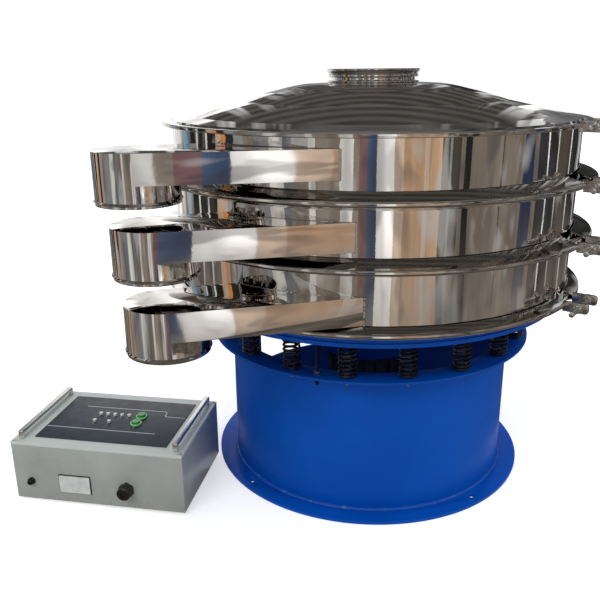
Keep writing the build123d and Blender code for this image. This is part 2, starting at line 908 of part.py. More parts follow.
def generator_case():
    with BuildPart() as case:
        with BuildSketch(generator_level(generator_foot_height)):
            Rectangle(generator_length, generator_width)
        extrude(amount=generator_top - generator_foot_height)
        with BuildSketch(generator_level(generator_foot_height + generator_wall)):
            Rectangle(generator_length - 2 * generator_wall, generator_width - 2 * generator_wall)
        extrude(amount=generator_top - generator_foot_height - generator_wall, mode=Mode.SUBTRACT)
    save(case, "generator_case")


def generator_cover():
    with BuildPart() as cover:
        with BuildSketch(generator_level(generator_top)):
            Rectangle(generator_length, generator_width)
        extrude(amount=generator_cover_thickness)
        screw_x = generator_length - 2 * cover_screw_inset
        screw_y = generator_width - 2 * cover_screw_inset
        with BuildSketch(generator_level(generator_height)):
            with GridLocations(screw_x, screw_y, 2, 2):
                Circle(cover_screw_radius)
        extrude(amount=cover_screw_height)
    save(cover, "generator_cover")


def generator_panel():
    with BuildPart() as panel:
        with BuildSketch(generator_level(generator_height)):
            Rectangle(panel_length, panel_width)
        extrude(amount=panel_thickness)
    save(panel, "generator_panel")


def generator_handles():
    """Two bar handles, each a bridge on two legs."""
    inner_length = handle_length - 2 * handle_bar
    with BuildPart() as handles:
        with BuildSketch(generator_level(generator_height)):
            with GridLocations(generator_length - 2 * handle_inset, 0, 2, 1):
                Rectangle(handle_width, handle_length)
        extrude(amount=handle_rise)
        with BuildSketch(generator_level(generator_height)):
            with GridLocations(generator_length - 2 * handle_inset, 0, 2, 1):
                Rectangle(handle_width, inner_length)
        extrude(amount=handle_rise - handle_bar, mode=Mode.SUBTRACT)
    save(handles, "generator_handles")


def indicator_lamps():
    lamp_points = [(lamp_row_start + lamp_spacing * i, upper_row_y) for i in range(lamp_row_count)]
    lamp_points += [(lamp_row_start, lower_row_y), (lamp_row_start + 2 * lamp_spacing, lower_row_y)]
    with BuildPart() as lamps:
        with BuildSketch(generator_level(panel_top)):
            with Locations(*lamp_points):
                Circle(lamp_radius)
        extrude(amount=lamp_height)
    save(lamps, "indicator_lamps")


def button_bezels():
    with BuildPart() as bezels:
        with BuildSketch(generator_level(panel_top)):
            with Locations((button_x, upper_row_y), (button_x, lower_row_y)):
                Circle(bezel_radius)
                Circle(button_radius + button_gap, mode=Mode.SUBTRACT)
        extrude(amount=bezel_height)
    save(bezels, "button_bezels")


def push_button(name, row_y):
    """A round cap that stands out of its bezel and travels down to just above the panel."""
    with BuildPart() as button:
        with BuildSketch(generator_level(panel_top + button_travel + button_gap)):
            with Locations((button_x, row_y)):
                Circle(button_radius)
        extrude(amount=button_height)
    save(button, name)


def generator_glands():
    """Two stepped cable glands and the cover plate of the socket between them, on the front side."""
    front = generator_level(gland_z)
    with BuildPart() as glands:
        for inset, radius, length in zip(gland_insets, gland_radii, gland_lengths):
            origin = front.from_local_coords((inset - generator_length / 2, -generator_width / 2, 0))
            face = Plane(origin=origin, x_dir=front.x_dir, z_dir=-front.y_dir)
            with BuildSketch(face):
                RegularPolygon(radius, 6)
            extrude(amount=length / 2)
            with BuildSketch(face.offset(length / 2)):
                Circle(radius - generator_wall)
            extrude(amount=length / 2)
        socket_origin = front.from_local_coords((socket_inset - generator_length / 2, -generator_width / 2, 0))
        with BuildSketch(Plane(origin=socket_origin, x_dir=front.x_dir, z_dir=-front.y_dir)):
            Rectangle(socket_length, socket_height)
        extrude(amount=socket_depth)
    save(glands, "generator_glands")


def generator_feet():
    with BuildPart() as feet:
        with BuildSketch(generator_level(0)):
            with GridLocations(
                generator_length - 2 * generator_foot_inset, generator_width - 2 * generator_foot_inset, 2, 2
            ):
                Circle(generator_foot_radius)
        extrude(amount=generator_foot_height)
    save(feet, "generator_feet")


foot_flange()
base_shell()
top_ring()
springs()
spring_seats()
transit_rods()
vibrating_plate()
plate_rim_ring()
frame(
    "lower_frame", bottom_joint + joint_gap / 2, bottom_flange_radius,
    lower_joint - joint_gap / 2, joint_flange_radius, flange_thickness,
    lower_spout_bottom, lower_spout_direction,
)
frame(
    "middle_frame", lower_joint + joint_gap / 2, joint_flange_radius,
    upper_joint - joint_gap / 2, joint_flange_radius, flange_thickness,
    middle_spout_bottom, middle_spout_direction,
)
frame(
    "upper_frame", upper_joint + joint_gap / 2, joint_flange_radius,
    frame_top, lid_flange_radius, lid_flange_thickness,
    upper_spout_bottom, upper_spout_direction,
)
spout("lower_spout", lower_spout_bottom, lower_spout_direction)
spout("middle_spout", middle_spout_bottom, middle_spout_direction)
spout("upper_spout", upper_spout_bottom, upper_spout_direction)
discharge_dome()
flat_gasket("bottom_gasket", bottom_flange_radius, bottom_joint - joint_gap / 2, joint_gap)
flat_gasket("lid_gasket", lid_flange_radius, frame_top, lid_gasket_thickness)
for deck, joint in [("lower", lower_joint), ("upper", upper_joint)]:
    screen_gasket(f"{deck}_screen_gasket", joint)
    screen_ring(f"{deck}_screen_ring", joint)
    screen_mesh(f"{deck}_screen_mesh", joint)
    resonator(f"{deck}_resonator", joint)
    v_ring(f"{deck}_clamp_ring", joint, joint_flange_radius)
v_ring("bottom_clamp_ring", bottom_joint, bottom_flange_radius)
lid_ring()
clamp_bolts()
lid()
inlet_collar()
motor_mount()
motor_housing()
end_shield("lower_end_shield", housing_bottom - shield_thickness, 1)
end_shield("upper_end_shield", housing_top + shield_thickness, -1)
motor_bearings()
stator()
motor_bolts()
terminal_box()
motor_shaft()
rotor_core()
fan_weight(
    "upper_weight", plate_top + upper_weight_above_plate, upper_weight_thickness,
    upper_weight_radius, shaft_radius,
)
fan_weight("lower_weight", adjustable_weight_top, lower_weight_thickness, lower_weight_radius, shaft_radius)
fan_weight(
    "adjustable_weight", adjustable_weight_top - adjustable_weight_thickness - weight_gap / 2,
    adjustable_weight_thickness, lower_weight_radius, shaft_radius + weight_fit,
)
shaft_nuts()
generator_case()
generator_cover()
generator_panel()
generator_handles()
indicator_lamps()
button_bezels()
push_button("start_button", upper_row_y)
push_button("stop_button", lower_row_y)
generator_glands()
generator_feet()
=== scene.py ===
import math
import random

import bmesh
import bpy
from mathutils import Matrix, Vector


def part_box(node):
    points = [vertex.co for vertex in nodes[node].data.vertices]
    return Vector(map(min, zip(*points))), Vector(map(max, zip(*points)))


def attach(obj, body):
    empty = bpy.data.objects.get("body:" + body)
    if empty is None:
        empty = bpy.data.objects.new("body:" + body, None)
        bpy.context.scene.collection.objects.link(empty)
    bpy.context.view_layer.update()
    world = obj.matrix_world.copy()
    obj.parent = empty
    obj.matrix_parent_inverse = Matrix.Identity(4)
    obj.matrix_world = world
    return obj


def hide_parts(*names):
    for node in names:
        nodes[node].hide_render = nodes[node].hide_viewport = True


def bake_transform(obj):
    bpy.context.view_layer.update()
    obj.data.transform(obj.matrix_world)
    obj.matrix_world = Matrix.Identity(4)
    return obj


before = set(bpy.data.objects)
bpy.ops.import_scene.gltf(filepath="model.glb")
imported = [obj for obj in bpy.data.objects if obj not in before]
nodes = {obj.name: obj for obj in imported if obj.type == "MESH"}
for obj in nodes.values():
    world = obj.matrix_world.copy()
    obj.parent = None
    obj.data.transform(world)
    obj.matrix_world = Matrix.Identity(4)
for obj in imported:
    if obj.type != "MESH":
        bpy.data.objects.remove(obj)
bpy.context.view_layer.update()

MM = 0.001
x_axis, y_axis, z_axis = Vector((1, 0, 0)), Vector((0, 1, 0)), Vector((0, 0, 1))


# Camera at the photograph's viewing angle, in metres and degrees
camera_place = Vector((-0.5332, -1.7569, 1.0213))
camera_yaw = 11.02
camera_pitch = 18.10
camera_roll = -0.58
camera_focal_pixels = 699.7
image_pixels = 600.0
sensor_width = 36.0


def add_camera():
    yaw, pitch, roll = (math.radians(a) for a in (camera_yaw, camera_pitch, camera_roll))
    forward = Vector((math.sin(yaw) * math.cos(pitch), math.cos(yaw) * math.cos(pitch), -math.sin(pitch)))
    level_right = Vector((math.cos(yaw), -math.sin(yaw), 0))
    level_up = level_right.cross(forward)
    right = level_right * math.cos(roll) + level_up * math.sin(roll)
    up = right.cross(forward)
    data = bpy.data.cameras.new("camera")
    data.sensor_width = sensor_width
    data.lens = camera_focal_pixels / image_pixels * sensor_width
    data.clip_end = 50.0
    camera = bpy.data.objects.new("camera", data)
    camera.matrix_world = Matrix.Translation(camera_place) @ Matrix(
        (
            (right.x, up.x, -forward.x, 0),
            (right.y, up.y, -forward.y, 0),
            (right.z, up.z, -forward.z, 0),
            (0, 0, 0, 1),
        )
    )
    bpy.context.scene.collection.objects.link(camera)
    bpy.context.scene.camera = camera


# Node-tree helpers

class Tree:
    """A material's or world's node tree, with short calls to add and link its nodes."""

    def __init__(self, owner):
        owner.use_nodes = True
        self.nodes = owner.node_tree.nodes
        self.links = owner.node_tree.links
        self.nodes.clear()

    def add(self, kind, **settings):
        node = self.nodes.new("ShaderNode" + kind)
        for name, value in settings.items():
            setattr(node, name, value)
        return node

    def link(self, source, target):
        self.links.new(source, target)

    def position(self):
        """Coordinates in metres in the part's frame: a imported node's object sits at the origin."""
        return self.add("TexCoord").outputs["Object"]

    def scaled(self, vector, scale):
        mapping = self.add("Mapping")
        mapping.inputs["Scale"].default_value = scale
        self.link(vector, mapping.inputs["Vector"])
        return mapping.outputs["Vector"]

    def noise(self, scale, detail=4.0, roughness=0.55, vector=None, distortion=0.0):
        node = self.add("TexNoise")
        for name, value in zip(("Scale", "Detail", "Roughness", "Distortion"), (scale, detail, roughness, distortion)):
            node.inputs[name].default_value = value
        self.link(vector or self.position(), node.inputs["Vector"])
        return node.outputs["Fac"]

    def ramp(self, factor, stops):
        node = self.add("ValToRGB")
        elements = node.color_ramp.elements
        while len(elements) < len(stops):
            elements.new(0.5)
        for element, (place, colour) in zip(elements, stops):
            element.position = place
            element.color = (*colour, 1)
        self.link(factor, node.inputs["Fac"])
        return node.outputs["Color"]

    def grey(self, factor, low, high, start=0.0, end=1.0):
        node = self.add("MapRange")
        for name, value in (("From Min", start), ("From Max", end), ("To Min", low), ("To Max", high)):
            node.inputs[name].default_value = value
        self.link(factor, node.inputs["Value"])
        return node.outputs["Result"]

    def maths(self, operation, a, b=None):
        node = self.add("Math", operation=operation)
        for socket, value in zip(node.inputs, (a, b)):
            if value is None:
                continue
            if isinstance(value, (int, float)):
                socket.default_value = value
            else:
                self.link(value, socket)
        return node.outputs["Value"]

    def mix(self, factor, a, b, blend="MIX"):
        node = self.add("Mix", data_type="RGBA", blend_type=blend)
        for name, value in (("Factor", factor), ("A", a), ("B", b)):
            socket = next(s for s in node.inputs if s.name == name and (name == "Factor" or s.type == "RGBA"))
            if isinstance(value, (int, float)):
                socket.default_value = value
            elif isinstance(value, tuple):
                socket.default_value = (*value, 1)
            else:
                self.link(value, socket)
        return next(s for s in node.outputs if s.type == "RGBA")

    def bump(self, height, distance, normal=None):
        node = self.add("Bump")
        node.inputs["Strength"].default_value = 1.0
        node.inputs["Distance"].default_value = distance
        self.link(height, node.inputs["Height"])
        if normal:
            self.link(normal, node.inputs["Normal"])
        return node.outputs["Normal"]

    def surface(self, colour, roughness, metallic=0.0, normal=None, coat=0.0, specular=0.5):
        """The shader at the end of the tree. Plain numbers are set on its own sockets."""
        shader = self.add("BsdfPrincipled")
        for name, value in (("Base Color", colour), ("Roughness", roughness)):
            if isinstance(value, (int, float)):
                shader.inputs[name].default_value = value
            elif isinstance(value, tuple):
                shader.inputs[name].default_value = (*value, 1)
            else:
                self.link(value, shader.inputs[name])
        plain = (metallic, coat, 0.05, specular)
        for name, value in zip(("Metallic", "Coat Weight", "Coat Roughness", "Specular IOR Level"), plain):
            shader.inputs[name].default_value = value
        if normal:
            self.link(normal, shader.inputs["Normal"])
        self.link(shader.outputs["BSDF"], self.add("OutputMaterial").inputs["Surface"])


def material(name):
    made = bpy.data.materials.new(name)
    return made, Tree(made)


# Materials, with the depths of their fine relief in metres
polish_depth = 0.00001
wire_wave = 0.314


def polished_steel(name, waviness, haze, tint):
    """Mirror-polished stainless sheet: slow waves of the rolled sheet, faint polishing haze and smears."""
    made, tree = material(name)
    cloud = tree.noise(5.0, detail=5.0)
    smears = tree.noise(9.0, detail=6.0, distortion=1.2)
    colour = tree.ramp(cloud, [(0.3, tuple(c * 0.90 for c in tint)), (0.7, tint)])
    roughness = tree.grey(smears, haze, haze * 2.4, 0.42, 0.75)
    slow = tree.bump(tree.noise(3.0, detail=1.0), waviness)
    fine = tree.bump(tree.noise(160.0, detail=2.0), polish_depth, normal=slow)
    tree.surface(colour, roughness, metallic=1.0, normal=fine)
    return made


def blue_paint(name, low, high):
    """Smooth machine paint over welded plate: slight orange peel, faint runs of tone."""
    made, tree = material(name)
    colour = tree.ramp(tree.noise(4.0, detail=6.0), [(0.3, low), (0.7, high)])
    roughness = tree.grey(tree.noise(14.0, detail=5.0), 0.36, 0.52, 0.35, 0.7)
    dents = tree.bump(tree.noise(6.0, detail=2.0), 0.0008)
    peel = tree.bump(tree.noise(420.0, detail=2.0), 0.00005, normal=dents)
    tree.surface(colour, roughness, normal=peel, specular=0.10)
    return made


def weld_paint(name):
    """Paint that cracked and chipped along a weld, with bare pale metal showing."""
    made, tree = material(name)
    chips = tree.noise(60.0, detail=8.0, roughness=0.7)
    paint, thin_paint, bare = (0.0003, 0.080, 0.45), (0.10, 0.20, 0.44), (0.45, 0.44, 0.42)
    colour = tree.ramp(chips, [(0.58, paint), (0.66, thin_paint), (0.72, bare)])
    normal = tree.bump(tree.noise(160.0, detail=5.0), 0.0012)
    tree.surface(colour, 0.5, normal=normal)
    return made


def plain_metal(name, low, high, roughness, scale=40.0, grain=300.0, depth=0.00004):
    """Bare or plated steel with a mottled tone and fine grain."""
    made, tree = material(name)
    colour = tree.ramp(tree.noise(scale, detail=6.0), [(0.3, low), (0.7, high)])
    rough = tree.grey(tree.noise(scale * 2, detail=4.0), roughness * 0.75, roughness * 1.4, 0.3, 0.7)
    tree.surface(colour, rough, metallic=1.0, normal=tree.bump(tree.noise(grain, detail=3.0), depth))
    return made


def painted(name, low, high, roughness, grain=350.0, depth=0.00008, coat=0.0, scale=25.0):
    """Paint, enamel, rubber or plastic: a slightly uneven tone over a fine grain."""
    made, tree = material(name)
    colour = tree.ramp(tree.noise(scale, detail=5.0), [(0.3, low), (0.7, high)])
    rough = tree.grey(tree.noise(scale * 1.7, detail=4.0), roughness * 0.8, roughness * 1.25, 0.3, 0.7)
    tree.surface(colour, rough, normal=tree.bump(tree.noise(grain, detail=2.0), depth), coat=coat)
    return made


def woven_mesh(name, pitch):
    """Stainless wire cloth: two crossed waves make the over and under of its wires."""
    made, tree = material(name)
    wires = []
    for direction in ("X", "Y"):
        wave = tree.add("TexWave", wave_type="BANDS", bands_direction=direction, wave_profile="SIN")
        wave.inputs["Scale"].default_value = wire_wave / pitch
        tree.link(tree.position(), wave.inputs["Vector"])
        wires.append(wave.outputs["Fac"])
    cloth = tree.maths("MAXIMUM", *wires)
    # The near-black tone in the openings between the wires is painted shade
    colour = tree.ramp(cloth, [(0.35, (0.05, 0.05, 0.05)), (0.75, (0.55, 0.54, 0.51))])
    tree.surface(colour, 0.34, metallic=1.0, normal=tree.bump(cloth, pitch * 0.3))
    return made


def panel_foil(name):
    """The generator's printed front foil: dark slate with a very fine matt texture."""
    made, tree = material(name)
    darker, lighter = (0.018, 0.029, 0.044), (0.023, 0.036, 0.053)
    colour = tree.ramp(tree.noise(18.0, detail=3.0), [(0.35, darker), (0.65, lighter)])
    rough = tree.grey(tree.noise(30.0, detail=4.0), 0.38, 0.52, 0.3, 0.7)
    tree.surface(colour, rough, normal=tree.bump(tree.noise(900.0, detail=1.0), 0.00003))
    return made


steel = polished_steel("frame_steel", waviness=0.0035, haze=0.02, tint=(0.74, 0.72, 0.69))
ring_steel = polished_steel("ring_steel", waviness=0.0015, haze=0.05, tint=(0.62, 0.60, 0.57))
lid_steel = polished_steel("lid_steel", waviness=0.0012, haze=0.04, tint=(0.60, 0.58, 0.56))
spout_steel = polished_steel("spout_steel", waviness=0.008, haze=0.03, tint=(0.72, 0.70, 0.68))
weld_steel = plain_metal(
    "weld_steel", (0.30, 0.27, 0.24), (0.72, 0.69, 0.66), 0.24, scale=90.0, grain=420.0, depth=0.0002
)
blue = blue_paint("blue_paint", (0.0002, 0.070, 0.40), (0.0003, 0.092, 0.50))
# The top ring's paint: the same blue made darker, a painted shade for the shade under the vibrating plate and between
# the springs
shaded_blue = blue_paint("shaded_blue_paint", (0.0002, 0.056, 0.31), (0.0003, 0.074, 0.39))
blue_weld = weld_paint("blue_weld_paint")
spring_black = painted("spring_enamel", (0.003, 0.003, 0.004), (0.008, 0.008, 0.009), 0.34, coat=0.12)
zinc = plain_metal("zinc_plate", (0.44, 0.44, 0.42), (0.66, 0.66, 0.63), 0.25)
dark_thread = plain_metal("dark_thread", (0.07, 0.07, 0.075), (0.16, 0.16, 0.17), 0.4)
ground_steel = plain_metal("ground_steel", (0.38, 0.38, 0.38), (0.58, 0.58, 0.57), 0.3)
raw_iron = plain_metal(
    "raw_iron", (0.10, 0.10, 0.105), (0.21, 0.21, 0.22), 0.5, grain=160.0, depth=0.0003
)
motor_black = painted(
    "motor_paint", (0.006, 0.010, 0.022), (0.014, 0.022, 0.045), 0.42, grain=180.0, depth=0.0003
)
gasket_white = painted("gasket_rubber", (0.50, 0.49, 0.46), (0.62, 0.61, 0.58), 0.6)
case_grey = painted(
    "case_coat", (0.55, 0.605, 0.57), (0.62, 0.67, 0.635), 0.36, grain=700.0, depth=0.00004, scale=6.0
)
# The case's sides: the cover's paint made darker, a painted shade on the sides
shaded_case_side = painted(
    "shaded_case_side", (0.32, 0.335, 0.31), (0.42, 0.44, 0.41), 0.34, grain=700.0, depth=0.00004, scale=9.0
)
handle_silver = plain_metal("handle_silver", (0.72, 0.72, 0.69), (0.86, 0.85, 0.82), 0.34, scale=12.0)
slate = panel_foil("panel_foil")
print_white = painted("white_print", (0.66, 0.68, 0.68), (0.76, 0.78, 0.78), 0.5)
lamp_clear = painted("lamp_lens", (0.55, 0.55, 0.53), (0.75, 0.75, 0.72), 0.12, coat=0.8)
bezel_bright = painted("bezel_green", (0.16, 0.52, 0.18), (0.30, 0.68, 0.30), 0.25, coat=0.5)
button_green = painted("button_green", (0.004, 0.20, 0.03), (0.010, 0.34, 0.06), 0.22, coat=0.6)
black_nylon = painted("black_nylon", (0.006, 0.006, 0.006), (0.014, 0.014, 0.014), 0.38)
# The socket plate's pale tone is a painted reflection: it stands in for the bright glare on a silver plate
plate_gloss_and_glare = painted("plate_gloss_and_glare", (0.56, 0.58, 0.56), (0.74, 0.75, 0.73), 0.18, coat=0.8, scale=40.0)
screen_cloth = woven_mesh("screen_cloth", 2.2 * MM)

finishes = {
    steel: ("lower_frame", "middle_frame", "upper_frame"),
    spout_steel: ("lower_spout", "middle_spout", "upper_spout"),
    ring_steel: (
        "bottom_clamp_ring", "lower_clamp_ring", "upper_clamp_ring", "lid_clamp_ring", "inlet_collar",
    ),
    lid_steel: ("lid",),
    weld_steel: (
        "discharge_dome", "lower_screen_ring", "upper_screen_ring", "lower_resonator", "upper_resonator",
    ),
    blue: ("foot_flange", "base_shell", "vibrating_plate", "plate_rim_ring", "motor_mount"),
    # the top ring takes the darker blue, a painted shade
    shaded_blue: ("top_ring",),
    spring_black: ("springs",),
    zinc: ("spring_seats", "clamp_bolts", "motor_bolts", "shaft_nuts"),
    dark_thread: ("transit_rods",),
    ground_steel: ("motor_bearings", "motor_shaft", "stator", "rotor_core"),
    raw_iron: ("upper_weight", "lower_weight", "adjustable_weight"),
    motor_black: ("motor_housing", "lower_end_shield", "upper_end_shield", "terminal_box"),
    gasket_white: ("bottom_gasket", "lid_gasket", "lower_screen_gasket", "upper_screen_gasket"),
    shaded_case_side: ("generator_case",),
    case_grey: ("generator_cover",),
    handle_silver: ("generator_handles",),
    slate: ("generator_panel",),
    lamp_clear: ("indicator_lamps",),
    bezel_bright: ("button_bezels",),
    button_green: ("start_button", "stop_button"),
    black_nylon: ("generator_glands", "generator_feet"),
    screen_cloth: ("lower_screen_mesh", "upper_screen_mesh"),
}
for finish, names in finishes.items():
    for name in names:
        for slot in nodes[name].material_slots:
            slot.material = finish


# Mesh helpers

def new_piece(name, mesh_maker, finish, body, sharp=38):
    """Build a mesh with bmesh, give it its finish and let it ride on its body."""
    mesh = bpy.data.meshes.new(name)
    bm = bmesh.new()
    mesh_maker(bm)
    bmesh.ops.recalc_face_normals(bm, faces=bm.faces)
    for face in bm.faces:
        face.smooth = True
    bm.to_mesh(mesh)
    bm.free()
    mesh.materials.append(finish)
    mesh.set_sharp_from_angle(angle=math.radians(sharp))
    piece = bpy.data.objects.new(name, mesh)
    bpy.context.scene.collection.objects.link(piece)
    if body:
        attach(piece, body)
    return piece


def square_to(axis):
    """A unit vector square to an axis."""
    return axis.cross(z_axis if abs(axis.z) < 0.9 else x_axis).normalized()


def bridge_rings(bm, rings, closed=False):
    """Join successive rings of vertices with faces; closed joins the last ring to the first as well."""
    pairs = list(zip(rings, rings[1:]))
    if closed:
        pairs.append((rings[-1], rings[0]))
    for low, high in pairs:
        count = len(low)
        for i in range(count):
            bm.faces.new((low[i], low[(i + 1) % count], high[(i + 1) % count], high[i]))


def ring_of(bm, centre, across, up, radius_at, count):
    """Vertices round a centre, in the plane of two directions, at a radius that may depend on the angle."""
    ring = []
    for i in range(count):
        angle = 2 * math.pi * i / count
        radius = radius_at(angle) if callable(radius_at) else radius_at
        ring.append(bm.verts.new(centre + (across * math.cos(angle) + up * math.sin(angle)) * radius))
    return ring


def level_ring(bm, radius, height, count):
    """Vertices round the machine's axis at a radius and a height."""
    return ring_of(bm, Vector((0, 0, height)), x_axis, y_axis, radius, count)


def cap(bm, ring, centre):
    """Close a ring with triangles to its centre."""
    middle = bm.verts.new(centre)
    for i in range(len(ring)):
        bm.faces.new((ring[i], ring[(i + 1) % len(ring)], middle))


def tube(bm, points, radius, sides, closed=False):
    """A round tube along points, with its ends closed unless it closes on itself."""
    rings = []
    side = None
    count = len(points)
    for i, point in enumerate(points):
        before = points[i - 1] if (i or closed) else point
        after = points[(i + 1) % count] if (i < count - 1 or closed) else point
        along = (after - before).normalized()
        if side is None:
            side = square_to(along)
        side = (side - along * side.dot(along)).normalized()
        size = radius(i) if callable(radius) else radius
        rings.append(ring_of(bm, point, side, along.cross(side), size, sides))
    bridge_rings(bm, rings, closed)
    if not closed:
        cap(bm, rings[0], points[0])
        cap(bm, rings[-1], points[-1])


def lathe(bm, start, axis, profile, count):
    """A turned solid from (distance along the axis, radius) steps; a radius may be a function of the angle."""
    across = square_to(axis)
    up = axis.cross(across)
    rings = [ring_of(bm, start + axis * step, across, up, radius, count) for step, radius in profile]
    bridge_rings(bm, rings)
    cap(bm, rings[0], start + axis * profile[0][0])
    cap(bm, rings[-1], start + axis * profile[-1][0])


def hexagon(flats_radius, chamfer_radius):
    """The radius of a hexagon at an angle, rounded off at a chamfer's radius."""
    def radius(angle):
        part = (angle + math.pi / 6) % (math.pi / 3) - math.pi / 6
        return min(flats_radius / math.cos(part), chamfer_radius)
    return radius


def hex_nut(bm, start, axis, flats_radius, height):
    """A chamfered hexagon nut or head, seated at start and standing along axis."""
    corner = flats_radius / math.cos(math.pi / 6)
    chamfer = 0.12 * height
    lathe(bm, start, axis, [
        (0, flats_radius * 0.97),
        (chamfer * 0.5, hexagon(flats_radius, corner * 0.97)),
        (chamfer, hexagon(flats_radius, corner)),
        (height - chamfer, hexagon(flats_radius, corner)),
        (height - chamfer * 0.5, hexagon(flats_radius, corner * 0.97)),
        (height, flats_radius * 0.95),
    ], 48)


def thread(bm, start, axis, radius, length, pitch):
    """A threaded rod: a ridge at each pitch and chamfered ends."""
    depth = pitch * 0.55
    profile = [(0, radius - depth * 1.2)]
    turns = int(length / pitch)
    for turn in range(turns):
        profile.append((pitch * (turn + 0.3), radius - depth))
        profile.append((pitch * (turn + 0.75), radius))
    profile.append((length, radius - depth * 1.2))
    lathe(bm, start, axis, profile, 20)


def polar(radius, degrees, height):
    """A point at a radius, a direction round the axis and a height."""
    angle = math.radians(degrees)
    return Vector((radius * math.cos(angle), radius * math.sin(angle), height))


merge_distance = 0.00003
flat_within = math.radians(0.4)
sharp_from = math.radians(35)


def softened(name, node, width, finish, body, wanted=None, segments=3):
    """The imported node's own shape with its sharp edges rounded off, in the node's place."""
    def mesh_maker(bm):
        bm.from_mesh(nodes[node].data)
        bmesh.ops.remove_doubles(bm, verts=bm.verts, dist=merge_distance)
        bmesh.ops.dissolve_limit(bm, angle_limit=flat_within, verts=bm.verts, edges=bm.edges)
        edges = [
            edge for edge in bm.edges
            if len(edge.link_faces) == 2 and edge.calc_face_angle() > sharp_from
            and (wanted is None or wanted(edge))
        ]
        bmesh.ops.bevel(
            bm, geom=edges, offset=width, segments=segments, profile=0.5, affect="EDGES", clamp_overlap=True
        )

    piece = new_piece(name, mesh_maker, finish, body)
    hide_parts(node)


def turned_ring(bm, outline, count):
    """A closed outline of (radius, height) points turned about the machine's axis."""
    rings = [level_ring(bm, radius, height, count) for radius, height in outline]
    bridge_rings(bm, rings, closed=True)


# Lid: the pressed rings, each slightly bulged, as (radius, height over the flange) creases
frame_outer = 0.500
lid_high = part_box("lid")[1].z
lid_rise = 83.5 * MM
lid_flange_top = lid_high - lid_rise
lid_flange_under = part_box("lid")[0].z
lid_flange_outer = 0.518
lid_sheet = 2.5 * MM
lid_creases = [(0.497, 4.5 * MM), (0.450, 11.5 * MM), (0.332, 40.5 * MM), (0.235, 67.5 * MM), (0.170, 80.5 * MM)]
lid_bulge = 1.3 * MM
collar_foot = 0.113
collar_bore = 0.099
bulge_steps = 10
lid_segments = 288


def lid_mesh(bm):
    upper = [lid_creases[0]]
    for (outer, low), (inner, high) in zip(lid_creases, lid_creases[1:]):
        bulge = lid_bulge if low > lid_creases[0][1] else 0
        for step in range(1, bulge_steps + 1):
            part = step / bulge_steps
            height = low + (high - low) * part + 4 * bulge * part * (1 - part)
            upper.append((outer + (inner - outer) * part, height))
    upper += [(collar_foot, lid_high - lid_flange_top), (collar_bore, lid_high - lid_flange_top)]
    lower = [(radius, height - lid_sheet) for radius, height in reversed(upper)]
    under = lid_flange_under - lid_flange_top
    flange = [(frame_outer, under), (lid_flange_outer, under), (lid_flange_outer, 0), (frame_outer, 0)]
    outline = [(radius, lid_flange_top + height) for radius, height in upper + lower + flange]
    turned_ring(bm, outline, lid_segments)


lid_skin = new_piece("lid_skin", lid_mesh, lid_steel, "vibrating_body", sharp=6)
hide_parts("lid")


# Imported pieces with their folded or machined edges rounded
def off_the_shell(edge):
    """Leave the edges where a spout meets its frame as they are."""
    return any(vertex.co.xy.length > frame_outer + 1 * MM for vertex in edge.verts)


for deck in ("upper", "middle", "lower"):
    softened(
        deck + "_spout_folded", deck + "_spout", 2.6 * MM, spout_steel,
        "vibrating_body", off_the_shell,
    )
softened(
    "inlet_collar_turned", "inlet_collar", 1.0 * MM, ring_steel,
    "vibrating_body", segments=2,
)
# The top ring's rounded edge takes the darker blue, a painted shade
softened("top_ring_edge", "top_ring", 1.2 * MM, shaded_blue, "base", segments=2)
softened("foot_flange_edge", "foot_flange", 1.2 * MM, blue, "base", segments=2)
softened("generator_handle_bars", "generator_handles", 3.2 * MM, handle_silver, "generator")
softened("generator_cover_edge", "generator_cover", 2.6 * MM, case_grey, "generator")
# The case takes the darker copy of the cover's paint, a painted shade
softened("generator_case_edge", "generator_case", 2.2 * MM, shaded_case_side, "generator")
softened("button_bezel_rims", "button_bezels", 1.4 * MM, bezel_bright, "generator")
softened("generator_panel_plate", "generator_panel", 0.6 * MM, slate, "generator")


# Clamp rings: rolled V and C sections, open at the bolt, with their two lugs
clamp_direction = -46.7
lug_half_gap = 34 * MM
lug_thickness = 7 * MM
lug_half_height = 12 * MM
lug_reach = 50 * MM
lug_root_depth = 6 * MM
lug_corner = 8 * MM
lug_edge = 1 * MM
ring_inner = 0.503
ring_segments = 320
corner_steps = 6
v_slope = math.tan(math.radians(18.6))
v_sheet = 2.5 * MM
v_stack_half = 7 * MM
v_nose_reach = 15 * MM
v_nose_round = 4.2 * MM
v_lip_round = 0.8 * MM
c_outer = 0.523
c_sheet = 1.5 * MM


def rounded(outline, radii):
    """A closed outline with each corner rounded by its own radius."""
    made = []
    for i, (corner, radius) in enumerate(zip(outline, radii)):
        corner = Vector(corner)
        before = (Vector(outline[i - 1]) - corner).normalized() * radius
        after = (Vector(outline[(i + 1) % len(outline)]) - corner).normalized() * radius
        if not radius:
            made.append(tuple(corner))
            continue
        for step in range(corner_steps + 1):
            part = step / corner_steps
            made.append(tuple(corner + before * (1 - part) ** 2 + after * part ** 2))
    return made


def open_ring(bm, outline, half_gap_angle, count):
    """A section turned round the axis from one side of the gap at the bolt to the other."""
    sections = []
    for i in range(count + 1):
        angle = clamp_direction + half_gap_angle + (360 - 2 * half_gap_angle) * i / count
        sections.append([bm.verts.new(polar(radius, angle, height)) for radius, height in outline])
    for a, b in zip(sections, sections[1:]):
        for k in range(len(outline)):
            bm.faces.new((a[k - 1], a[k], b[k], b[k - 1]))
    bm.faces.new(sections[0])
    bm.faces.new(sections[-1])


